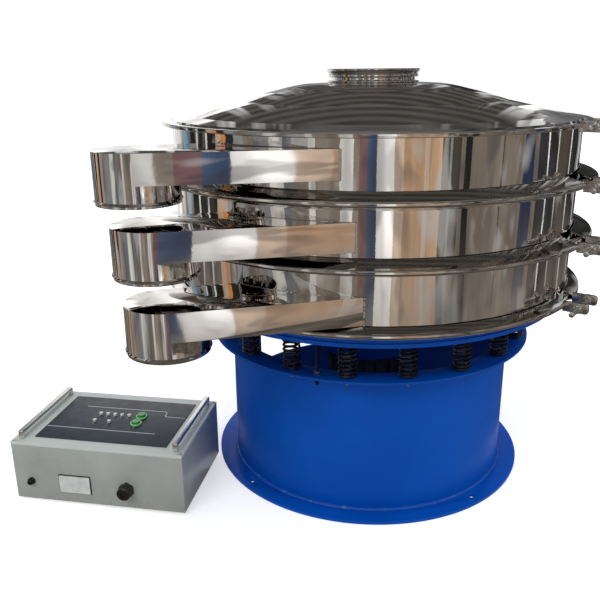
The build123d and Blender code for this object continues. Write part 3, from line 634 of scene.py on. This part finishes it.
def lug_plate(bm, side, root, reach, height):
    """One lug: an upright plate with rounded outer corners, along the ring's radius at the bolt."""
    outward = polar(1, clamp_direction, 0)
    along = Vector((-outward.y, outward.x, 0)) * side
    half = lug_half_height
    corners = [(root, -half), (reach, -half), (reach, half), (root, half)]
    outline = rounded(corners, [0, lug_corner, lug_corner, 0])
    faces = []
    for offset in (lug_half_gap, lug_half_gap + lug_thickness):
        faces.append([
            bm.verts.new(outward * radius + along * offset + Vector((0, 0, height + rise)))
            for radius, rise in outline
        ])
    bridge_rings(bm, faces)
    sides = [bm.faces.new(loop) for loop in faces]
    rims = [edge for face in sides for edge in face.edges]
    bmesh.ops.bevel(bm, geom=rims, offset=lug_edge, segments=2, profile=0.5, affect="EDGES")


def v_outline(joint, flange_radius):
    """The V section over two flanges, and the radius of its nose."""
    nose = flange_radius + v_nose_reach
    rise = v_sheet / math.cos(math.atan(v_slope))

    def inner_height(radius):
        return v_stack_half + v_slope * (flange_radius - radius)

    upper = [
        (nose - v_sheet, inner_height(nose - v_sheet)),
        (ring_inner, inner_height(ring_inner)),
        (ring_inner, inner_height(ring_inner) + rise),
        (nose, inner_height(nose) + rise),
    ]
    lower = [(radius, -height) for radius, height in reversed(upper)]
    points = [(radius, joint + height) for radius, height in upper + lower]
    radii = [0, v_lip_round, v_lip_round, v_nose_round]
    return rounded(points, radii + radii[::-1]), nose


def c_outline(low, high):
    """The lid ring's C section, and its outer radius."""
    outer, sheet = c_outer, c_sheet
    outside, lip, inside = 2 * MM, 0.4 * MM, 0.6 * MM
    points = [
        (outer, low), (outer, high), (ring_inner, high), (ring_inner, high - sheet),
        (outer - sheet, high - sheet), (outer - sheet, low + sheet), (ring_inner, low + sheet), (ring_inner, low),
    ]
    return rounded(points, [outside, outside, lip, lip, inside, inside, lip, lip]), outer


def clamp_ring(name, section, joint):
    """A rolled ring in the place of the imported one, and its two lugs."""
    outline, radius = section
    half_gap_angle = math.degrees(math.asin((lug_half_gap + lug_thickness / 2) / radius))

    def lugs(bm):
        for side in (-1, 1):
            lug_plate(bm, side, radius - lug_root_depth, radius + lug_reach, joint)

    rolled = new_piece(
        name + "_rolled", lambda bm: open_ring(bm, outline, half_gap_angle, ring_segments),
        ring_steel, "vibrating_body",
    )
    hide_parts(name)
    new_piece(name + "_lugs", lugs, weld_steel, "vibrating_body")


v_rings = (("bottom_clamp_ring", 0.515), ("lower_clamp_ring", 0.530), ("upper_clamp_ring", 0.530))
for ring_name, flange_radius in v_rings:
    ring_low, ring_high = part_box(ring_name)
    joint = (ring_low.z + ring_high.z) / 2
    clamp_ring(ring_name, v_outline(joint, flange_radius), joint)
lid_joint = sum(corner.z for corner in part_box("lid_clamp_ring")) / 2
lid_ring_half = 4.5 * MM
clamp_ring("lid_clamp_ring", c_outline(lid_joint - lid_ring_half, lid_joint + lid_ring_half), lid_joint)


# Springs: round wire with closed ends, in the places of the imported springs
spring_low, spring_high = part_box("springs")
spring_count = 18
spring_start = -113.3
spring_circle = 0.390
spring_wire = 5.9 * MM
spring_mean = 18.6 * MM
spring_turns = 10.5
spring_closed = 1.1
steps_per_turn = 22
closed_pitch = 1.02


def spring_path(centre, phase):
    """The wire's middle line: closed turns at both ends and an even pitch between them."""
    bottom, top = spring_low.z + spring_wire / 2, spring_high.z - spring_wire / 2
    closed_rise = spring_wire * closed_pitch * spring_closed
    open_turns = spring_turns - 2 * spring_closed
    open_rise = (top - bottom - 2 * closed_rise) / open_turns
    points = []
    for i in range(int(spring_turns * steps_per_turn) + 1):
        turn = i / steps_per_turn
        height = bottom + min(turn, spring_closed) / spring_closed * closed_rise
        height += min(max(turn - spring_closed, 0), open_turns) * open_rise
        height += max(turn - spring_closed - open_turns, 0) / spring_closed * closed_rise
        angle = phase + 2 * math.pi * turn
        across, along = spring_mean * math.cos(angle), spring_mean * math.sin(angle)
        points.append(Vector((centre.x + across, centre.y + along, height)))
    return points


def springs_mesh(bm):
    shuffled = random.Random(4)
    for i in range(spring_count):
        centre = polar(spring_circle, spring_start + 360 / spring_count * i, 0)
        tube(bm, spring_path(centre, shuffled.uniform(0, 2 * math.pi)), spring_wire / 2, 8)


coil_springs = new_piece("coil_springs", springs_mesh, spring_black, None)
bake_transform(coil_springs)
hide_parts("springs")


# Spring seats: a chamfered locator nut in each spring and a washer, nut and stud end under the ring
ring_top = spring_low.z
ring_under = ring_top - 6 * MM
seat_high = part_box("spring_seats")[1].z
seat_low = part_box("spring_seats")[0].z
locator_flats = 11.5 * MM
seat_washer_radius = 13.4 * MM
seat_washer = 1.6 * MM
seat_nut_flats = 9.5 * MM
seat_nut_height = 7.5 * MM
stud_start = 8 * MM
m12_radius = 6 * MM
m12_pitch = 1.75 * MM


def seats_mesh(bm):
    for i in range(spring_count):
        spot = polar(spring_circle, spring_start + 360 / spring_count * i, 0)
        top = Vector((spot.x, spot.y, ring_top))
        under = Vector((spot.x, spot.y, ring_under))
        hex_nut(bm, top, z_axis, locator_flats, seat_high - ring_top)
        lathe(bm, under, -z_axis, [(0, seat_washer_radius), (seat_washer, seat_washer_radius)], 28)
        hex_nut(bm, under - z_axis * seat_washer, -z_axis, seat_nut_flats, seat_nut_height)
        stud = under - z_axis * stud_start
        thread(bm, stud, -z_axis, m12_radius, ring_under - seat_low - stud_start, m12_pitch)


seat_nuts = new_piece("spring_seat_nuts", seats_mesh, zinc, "base")
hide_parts("spring_seats")


# Transit rods with their thread and nuts
rod_low, rod_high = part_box("transit_rods")
rod_circle = 0.394
rod_start = -123.5
rod_count = 3
rod_nut_flats = 7 * MM
rod_nut_height = 6.8 * MM


def rod_spot(i, height):
    return polar(rod_circle, rod_start + 120 * i, height)


def rods_mesh(bm):
    for i in range(rod_count):
        thread(bm, rod_spot(i, rod_low.z), z_axis, 4 * MM, rod_high.z - rod_low.z, 1.25 * MM)


def rod_nuts_mesh(bm):
    for i in range(rod_count):
        hex_nut(bm, rod_spot(i, ring_top), z_axis, rod_nut_flats, rod_nut_height)
        hex_nut(bm, rod_spot(i, ring_under), -z_axis, rod_nut_flats, rod_nut_height)


rods = new_piece("transit_rod_threads", rods_mesh, dark_thread, "base")
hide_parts("transit_rods")
new_piece("transit_rod_nuts", rod_nuts_mesh, zinc, "base")


# Clamp bolts: a threaded bolt with a washer and nut outside each lug, and a nut inside it
clamp_bolts = []
bolt_radii = (
    ("bottom_clamp_ring", 0.558), ("lower_clamp_ring", 0.573),
    ("upper_clamp_ring", 0.573), ("lid_clamp_ring", 0.551),
)
for ring_name, bolt_radius in bolt_radii:
    low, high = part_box(ring_name)
    clamp_bolts.append((bolt_radius, (low.z + high.z) / 2))
lug_face = lug_half_gap + lug_thickness
bolt_spare = 60 * MM
bolt_end = 5 * MM
bolt_washer_radius = 12 * MM
bolt_flats = 9.3 * MM


def clamp_bolts_mesh(bm):
    outward = polar(1, clamp_direction, 0)
    along = Vector((outward.y, -outward.x, 0))
    for radius, height in clamp_bolts:
        middle = outward * radius + Vector((0, 0, height))
        near = middle + along * lug_face
        far = middle - along * lug_face
        thread(bm, far - along * bolt_end, along, m12_radius, 2 * lug_face + bolt_spare, m12_pitch)
        for face, out, washer, nut_height in ((near, along, 2.2 * MM, 10 * MM), (far, -along, 2.0 * MM, 6 * MM)):
            lathe(bm, face, out, [(0, bolt_washer_radius), (washer, bolt_washer_radius)], 32)
            hex_nut(bm, face + out * washer, out, bolt_flats, nut_height)
        for sign in (-1, 1):
            inner = middle + along * sign * lug_half_gap
            hex_nut(bm, inner, -along * sign, bolt_flats, 6 * MM)


bolt_piece = new_piece("clamp_bolt_set", clamp_bolts_mesh, zinc, "vibrating_body")
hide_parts("clamp_bolts")


# Welds
drum_radius = 0.371
foot_top = 8 * MM


def bead_ring(bm, radius, height, size, ripple, seed):
    """A fillet weld all round: an uneven bead with a ripple at each stitch."""
    count = 720
    shuffled = random.Random(seed)
    lumps = [shuffled.uniform(0.8, 1.25) for _ in range(count)]
    points = [polar(radius, 360 * i / count, height) for i in range(count)]

    def bead(i):
        smooth = (lumps[i - 1] + lumps[i] + lumps[(i + 1) % count]) / 3
        return size * smooth * (1 + ripple * math.sin(i * 2.1))

    tube(bm, points, bead, 8, closed=True)


def foot_weld_mesh(bm):
    bead_ring(bm, drum_radius + 1.2 * MM, foot_top + 1.2 * MM, 4.2 * MM, 0.10, 1)


def base_ring_weld_mesh(bm):
    bead_ring(bm, drum_radius + 0.8 * MM, ring_under - 0.8 * MM, 3.2 * MM, 0.12, 2)


new_piece("foot_weld", foot_weld_mesh, blue_weld, "base")
new_piece("top_ring_weld", base_ring_weld_mesh, blue, "base")


spout_offset = 0.3858
spout_radius = 84.5 * MM
spout_height = 60 * MM
spouts = (("upper_spout", 176.2), ("middle_spout", 180.0), ("lower_spout", 182.1))


def on_shell(direction, across, height):
    """The point where the channel's line at an offset meets the round shell."""
    turn = Matrix.Rotation(math.radians(direction), 3, "Z")
    return turn @ Vector((math.sqrt(frame_outer ** 2 - across ** 2), across, height))


def spout_welds_mesh(bm):
    """Beads where each channel meets its frame: down its two walls, and along its top and bottom."""
    shuffled = random.Random(7)
    front, back = spout_offset + spout_radius, spout_offset - spout_radius
    for name, direction in spouts:
        low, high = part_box(name)
        top, bottom = high.z, high.z - spout_height
        for wall, bead in ((front, 3.0 * MM), (back, 2.2 * MM)):
            upright = [on_shell(direction, wall, bottom + (top - bottom) * i / 30) for i in range(31)]
            tube(bm, upright, lambda i: bead * shuffled.uniform(0.9, 1.12), 10)
        for level in (top, bottom):
            edge = [on_shell(direction, front + (back - front) * i / 120, level) for i in range(121)]
            tube(bm, edge, lambda i: 1.3 * MM * shuffled.uniform(0.9, 1.12), 8)


new_piece("spout_welds", spout_welds_mesh, ring_steel, "vibrating_body")


# Generator: the printed lines and plain numbers on the panel, the screws, glands and socket plate
generator_centre = Vector((-0.686, -0.066, 0))
generator_turn = -21.2
panel_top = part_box("generator_panel")[1].z
cover_top = panel_top - 2 * MM
case_front = -0.145
gland_height = 0.060
socket_x = -0.060
print_rise = 0.25 * MM
line_width = 1.8 * MM
number_size = 7.5 * MM


def on_generator(x, y, z):
    turn = Matrix.Rotation(math.radians(generator_turn), 3, "Z")
    return generator_centre + turn @ Vector((x, y, z))


def strip(bm, points, width, height, rise):
    """A flat raised line through points on the panel, mitred at its corners."""
    sides = []
    for i, (x, y) in enumerate(points):
        before = Vector(points[max(i - 1, 0)])
        after = Vector(points[min(i + 1, len(points) - 1)])
        here = Vector((x, y))
        one = (here - before).normalized() if i else (after - here).normalized()
        two = (after - here).normalized() if i < len(points) - 1 else one
        across = Vector((-(one + two).y, (one + two).x)).normalized()
        reach = width / 2 / max(across.dot(Vector((-one.y, one.x))), 0.4)
        ends = (here + across * reach, here - across * reach)
        sides.append([bm.verts.new(on_generator(p.x, p.y, z)) for z in (height, height + rise) for p in ends])
    for a, b in zip(sides, sides[1:]):
        for i, j in ((0, 1), (1, 3), (3, 2), (2, 0)):
            bm.faces.new((a[i], a[j], b[j], b[i]))
    for s in (sides[0], sides[-1]):
        bm.faces.new((s[0], s[1], s[3], s[2]))


def panel_lines_mesh(bm):
    upper = [(-0.115, 0.060), (0.105, 0.060), (0.112, 0.054), (0.112, 0.039), (0.118, 0.033), (0.168, 0.033)]
    for points in (upper, [(-0.168, -0.058), (0.121, -0.058)]):
        strip(bm, points, line_width, panel_top, print_rise)


new_piece("panel_lines", panel_lines_mesh, print_white, "generator")


def panel_number(text, x, y, size):
    """A plain number printed on the panel."""
    curve = bpy.data.curves.new("number_" + text, "FONT")
    curve.body = text
    curve.size = size
    curve.extrude = print_rise / 2
    curve.align_x = "CENTER"
    curve.align_y = "CENTER"
    made = bpy.data.objects.new("number_" + text, curve)
    bpy.context.scene.collection.objects.link(made)
    turn = Matrix.Rotation(math.radians(generator_turn), 4, "Z")
    made.matrix_world = Matrix.Translation(on_generator(x, y, panel_top + print_rise / 2)) @ turn
    bpy.context.view_layer.update()
    mesh = bpy.data.meshes.new_from_object(made)
    place = made.matrix_world.copy()
    bpy.data.objects.remove(made)
    piece = bpy.data.objects.new("number_" + text, mesh)
    piece.matrix_world = place
    mesh.materials.clear()
    mesh.materials.append(print_white)
    bpy.context.scene.collection.objects.link(piece)
    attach(piece, "generator")


number_places = (
    (-0.0585, 0.0115), (-0.039, 0.0115), (-0.0195, 0.0115), (0.0, 0.0115), (0.0195, 0.0115),
    (-0.0585, -0.0275), (-0.0195, -0.0275), (0.054, 0.0020), (0.054, -0.0370),
)
for number, (x, y) in enumerate(number_places, 1):
    panel_number(str(number), x, y, number_size)


def cover_screws_mesh(bm):
    """Round-headed screws with a hexagon socket, one at each corner of the cover."""
    head = [
        (0, 5.2 * MM), (0.6 * MM, 5.2 * MM), (1.6 * MM, 4.4 * MM), (1.9 * MM, 3.2 * MM),
        (1.9 * MM, hexagon(1.6 * MM, 1.8 * MM)), (0.7 * MM, hexagon(1.5 * MM, 1.7 * MM)),
    ]
    for x in (-0.212, 0.212):
        for y in (-0.137, 0.137):
            lathe(bm, on_generator(x, y, cover_top), z_axis, head, 36)


new_piece("cover_screws", cover_screws_mesh, zinc, "generator")


def glands_mesh(bm):
    """Two cable glands with ribbed nuts, and the gasket under the socket plate."""
    outward = on_generator(0, -1, 0) - on_generator(0, 0, 0)
    for x, radius, length in ((-0.175, 10 * MM, 14 * MM), (0.075, 20 * MM, 26 * MM)):
        half, barrel = length / 2, radius - 3 * MM

        def ribbed(size):
            return lambda angle: size * (1 - 0.035 * (math.sin(18 * angle) > 0))

        nut = hexagon(radius * 0.84, radius)
        profile = [
            (0, nut), (half - 0.8 * MM, nut), (half, hexagon(radius * 0.80, radius * 0.9)),
            (half, ribbed(barrel)), (length - 2 * MM, ribbed(barrel)), (length, ribbed(barrel - 2 * MM)),
            (length, barrel * 0.45), (length - 3 * MM, barrel * 0.42),
        ]
        lathe(bm, on_generator(x, case_front, gland_height), outward, profile, 72)
    plate_block(bm, 42 * MM, 25 * MM, 0, 2 * MM, 4 * MM)


def plate_block(bm, half_length, half_height, low, high, corner):
    """A plate with rounded corners on the front of the case, round the socket's middle."""
    corners = [
        (-half_length, -half_height), (half_length, -half_height),
        (half_length, half_height), (-half_length, half_height),
    ]
    outline = rounded(corners, [corner] * 4)
    loops = [
        [bm.verts.new(on_generator(socket_x + x, case_front - depth, gland_height + z)) for x, z in outline]
        for depth in (low, high)
    ]
    bridge_rings(bm, loops)
    for loop in loops:
        bm.faces.new(loop)


glands = new_piece("gland_set", glands_mesh, black_nylon, "generator")
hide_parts("generator_glands")
# The socket cover takes the pale coat, a painted reflection of glare
new_piece(
    "socket_cover", lambda bm: plate_block(bm, 40 * MM, 23 * MM, 2 * MM, 4 * MM, 3 * MM),
    plate_gloss_and_glare, "generator",
)


# Stage: pale floor, soft lamps, and cards that only reflections see
def seen_rays(tree):
    path = tree.add("LightPath")
    seen = tree.maths("MAXIMUM", path.outputs["Is Camera Ray"], path.outputs["Is Glossy Ray"])
    return tree.maths("MAXIMUM", seen, path.outputs["Is Transmission Ray"])


def add_floor():
    """A pale floor that keeps the shadow near the object and is plain white further out."""
    mesh = bpy.data.meshes.new("floor")
    half = 12.0
    mesh.from_pydata([(-half, -half, 0), (half, -half, 0), (half, half, 0), (-half, half, 0)], [], [(0, 1, 2, 3)])
    floor = bpy.data.objects.new("floor", mesh)
    floor.location.z = -0.0004
    bpy.context.scene.collection.objects.link(floor)
    made, tree = material("floor")
    far = tree.add("VectorMath", operation="LENGTH")
    tree.link(tree.position(), far.inputs[0])
    glow_level = tree.grey(far.outputs["Value"], 0.52, 1.0, 0.6, 1.7)
    diffuse = tree.add("BsdfDiffuse")
    diffuse.inputs["Color"].default_value = (0.80, 0.80, 0.80, 1)
    glow = tree.add("Emission")
    glow.inputs["Color"].default_value = (1, 1, 1, 1)
    tree.link(tree.maths("MULTIPLY", seen_rays(tree), glow_level), glow.inputs["Strength"])
    both = tree.add("AddShader")
    tree.link(diffuse.outputs["BSDF"], both.inputs[0])
    tree.link(glow.outputs["Emission"], both.inputs[1])
    tree.link(both.outputs["Shader"], tree.add("OutputMaterial").inputs["Surface"])
    mesh.materials.append(made)


def add_world():
    world = bpy.data.worlds.new("world")
    bpy.context.scene.world = world
    tree = Tree(world)
    lit = tree.add("Background")
    lit.inputs["Color"].default_value = (0.95, 0.97, 1.0, 1)
    lit.inputs["Strength"].default_value = 0.55
    backdrop = tree.add("Background")
    backdrop.inputs["Color"].default_value = (1, 1, 1, 1)
    backdrop.inputs["Strength"].default_value = 1.0
    mixed = tree.add("MixShader")
    tree.link(seen_rays(tree), mixed.inputs["Fac"])
    tree.link(lit.outputs["Background"], mixed.inputs[1])
    tree.link(backdrop.outputs["Background"], mixed.inputs[2])
    tree.link(mixed.outputs["Shader"], tree.add("OutputWorld").inputs["Surface"])


def add_lamp(name, place, aim, size, power):
    data = bpy.data.lights.new(name, "AREA")
    data.shape = "RECTANGLE"
    data.size, data.size_y = size
    data.energy = power
    lamp = bpy.data.objects.new(name, data)
    lamp.location = place
    lamp.rotation_euler = (Vector(aim) - Vector(place)).to_track_quat("-Z", "Y").to_euler()
    bpy.context.scene.collection.objects.link(lamp)


def reflection_only(card):
    for ray in ("camera", "diffuse", "shadow", "transmission", "volume_scatter"):
        setattr(card, "visible_" + ray, False)


def card(name, mesh_maker, colour_of, strength):
    """A glowing card with a colour made by nodes, seen only in reflections."""
    mesh = bpy.data.meshes.new(name)
    bm = bmesh.new()
    mesh_maker(bm)
    bm.to_mesh(mesh)
    bm.free()
    made = bpy.data.objects.new(name, mesh)
    bpy.context.scene.collection.objects.link(made)
    finish, tree = material(name)
    glow = tree.add("Emission")
    tree.link(colour_of(tree), glow.inputs["Color"])
    glow.inputs["Strength"].default_value = strength
    tree.link(glow.outputs["Emission"], tree.add("OutputMaterial").inputs["Surface"])
    mesh.materials.append(finish)
    reflection_only(made)


# Tones of a workshop round the machine, and where each one starts, in degrees round the axis
tones = {
    "dark": (0.022, 0.022, 0.021),
    "navy": (0.034, 0.044, 0.090),
    "brown": (0.062, 0.050, 0.040),
    "taupe": (0.190, 0.160, 0.135),
    "grey": (0.220, 0.222, 0.228),
    "pale": (0.560, 0.550, 0.530),
    "white": (0.960, 0.950, 0.930),
    "rose": (0.150, 0.085, 0.085),
    "steel_blue": (0.055, 0.085, 0.160),
    "wood": (0.460, 0.300, 0.190),
    "light_wood": (0.600, 0.460, 0.350),
    "orange": (0.560, 0.210, 0.060),
    "cyan": (0.030, 0.330, 0.640),
}
wall_bands = [
    (0, "brown"), (8, "white"), (9, "dark"), (24, "pale"), (26, "dark"), (38, "grey"), (44, "white"),
    (47, "dark"), (52, "pale"), (54, "dark"), (60, "grey"), (92, "white"), (128, "pale"), (138, "grey"),
    (143, "cyan"), (145, "grey"), (150, "dark"), (157, "pale"), (158.5, "dark"), (166, "pale"), (167.5, "dark"),
    (174, "wood"), (178, "orange"), (181, "dark"), (186, "grey"), (192, "taupe"), (199, "grey"), (207, "pale"),
    (214, "grey"), (219, "taupe"), (226, "pale"), (229, "taupe"), (240, "pale"), (245.5, "taupe"),
    (248, "rose"), (251.5, "steel_blue"), (255.5, "white"), (263, "light_wood"), (267, "wood"),
    (276, "light_wood"), (278, "wood"), (283.5, "brown"), (287, "grey"), (288, "brown"), (292, "taupe"),
    (294, "dark"), (297, "taupe"), (313, "brown"), (313.6, "taupe"), (326, "navy"), (333, "taupe"),
    (336, "dark"), (343, "white"), (344, "dark"), (352, "pale"), (353, "brown"),
]
wall_radius = 1.7
wall_top = 1.3
card_segments = 96
floor_card_height = 0.003


def wall_mesh(bm):
    """Upright strips of the wall, each carrying its tone."""
    layer = bm.loops.layers.float_color.new("tone")
    for i, (start, tone) in enumerate(wall_bands):
        end = wall_bands[i + 1][0] if i + 1 < len(wall_bands) else 360
        pieces = max(1, round((end - start) / 4))
        for k in range(pieces):
            low = start + (end - start) * k / pieces
            high = start + (end - start) * (k + 1) / pieces
            corners = ((low, 0), (high, 0), (high, wall_top), (low, wall_top))
            face = bm.faces.new([bm.verts.new(polar(wall_radius, *corner)) for corner in corners])
            for loop in face.loops:
                loop[layer] = (*tones[tone], 1)


def wall_colour(tree):
    """The strips' tones, streaked upright, and browner towards the floor."""
    tone = tree.add("VertexColor", layer_name="tone").outputs["Color"]
    split = tree.add("SeparateXYZ")
    tree.link(tree.position(), split.inputs["Vector"])
    streaks = tree.noise(5.0, detail=2.0, roughness=0.5, vector=tree.scaled(tree.position(), (1, 1, 0.15)))
    blots = tree.noise(2.2, detail=2.0)
    shade = tree.ramp(streaks, [(0.36, (0.70, 0.70, 0.70)), (0.62, (1.18, 1.18, 1.18))])
    varied = tree.mix(1.0, tone, shade, "MULTIPLY")
    patches = tree.noise(3.4, detail=1.5, distortion=0.3)
    varied = tree.mix(tree.grey(patches, 0.0, 0.60, 0.55, 0.66), varied, (0.42, 0.42, 0.42))
    varied = tree.mix(tree.grey(patches, 0.50, 0.0, 0.34, 0.44), varied, (0.045, 0.045, 0.055))
    low = tree.mix(tree.grey(blots, 0.0, 1.0, 0.40, 0.60), (0.085, 0.074, 0.060), (0.24, 0.21, 0.18))
    fade = tree.grey(split.outputs["Z"], 0.62, 0.0, 0.12, 0.52)
    return tree.mix(fade, varied, low)


def dome_mesh(bm):
    profile = [(wall_radius, wall_top), (wall_radius, 1.9), (1.5, 2.4), (0.9, 2.7), (0.3, 2.78)]
    rings = [level_ring(bm, radius, height, card_segments) for radius, height in profile]
    bridge_rings(bm, rings)
    cap(bm, rings[-1], Vector((0, 0, 2.79)))


def dome_colour(tree):
    """A dim roof with soft rings of light, and bright streaks low down behind the machine."""
    wave = tree.add("TexWave", wave_type="BANDS", bands_direction="Z", wave_profile="SIN")
    for name, value in (("Scale", 1.9), ("Distortion", 1.2), ("Detail", 1.0), ("Detail Scale", 0.7)):
        wave.inputs[name].default_value = value
    tree.link(tree.position(), wave.inputs["Vector"])
    beams = tree.ramp(wave.outputs["Fac"], [
        (0.0, (0.050, 0.047, 0.042)), (0.45, (0.082, 0.077, 0.070)),
        (0.75, (0.105, 0.10, 0.092)), (1.0, (0.13, 0.125, 0.115)),
    ])
    split = tree.add("SeparateXYZ")
    tree.link(tree.position(), split.inputs["Vector"])
    streaks = tree.noise(9.0, detail=2.0, vector=tree.scaled(tree.position(), (1, 1, 0.05)))
    low_down = tree.grey(split.outputs["Z"], 1.0, 0.0, 1.35, 1.75)
    bright = tree.maths("MULTIPLY", tree.grey(streaks, 0.0, 1.0, 0.52, 0.60), low_down)
    overhead = tree.grey(split.outputs["Z"], 0.0, 0.75, 2.35, 2.70)
    beams = tree.mix(overhead, beams, (0.46, 0.455, 0.445))
    return tree.mix(bright, beams, (0.85, 0.86, 0.88))


def floor_card_mesh(bm):
    rings = [level_ring(bm, radius, floor_card_height, card_segments) for radius in (0.46, 1.2, wall_radius)]
    bridge_rings(bm, rings)


def floor_card_colour(tree):
    return tree.ramp(tree.noise(2.4, detail=4.0), [
        (0.35, (0.075, 0.064, 0.052)), (0.65, (0.17, 0.15, 0.125)),
    ])


add_camera()
add_floor()
add_world()
add_lamp("key_lamp", (-2.4, -2.6, 3.2), (0, 0, 0.4), (2.4, 1.6), 62.0)
add_lamp("fill_lamp", (3.0, -1.6, 2.4), (0, 0, 0.5), (1.8, 1.8), 34.0)
add_lamp("back_lamp", (0.6, 3.4, 2.8), (0, 0, 0.6), (2.4, 1.2), 30.0)
card("wall_cards", wall_mesh, wall_colour, 1.35)
card("roof_card", dome_mesh, dome_colour, 1.0)
card("floor_card", floor_card_mesh, floor_card_colour, 1.0)

scene = bpy.context.scene
scene.view_settings.view_transform = "Standard"
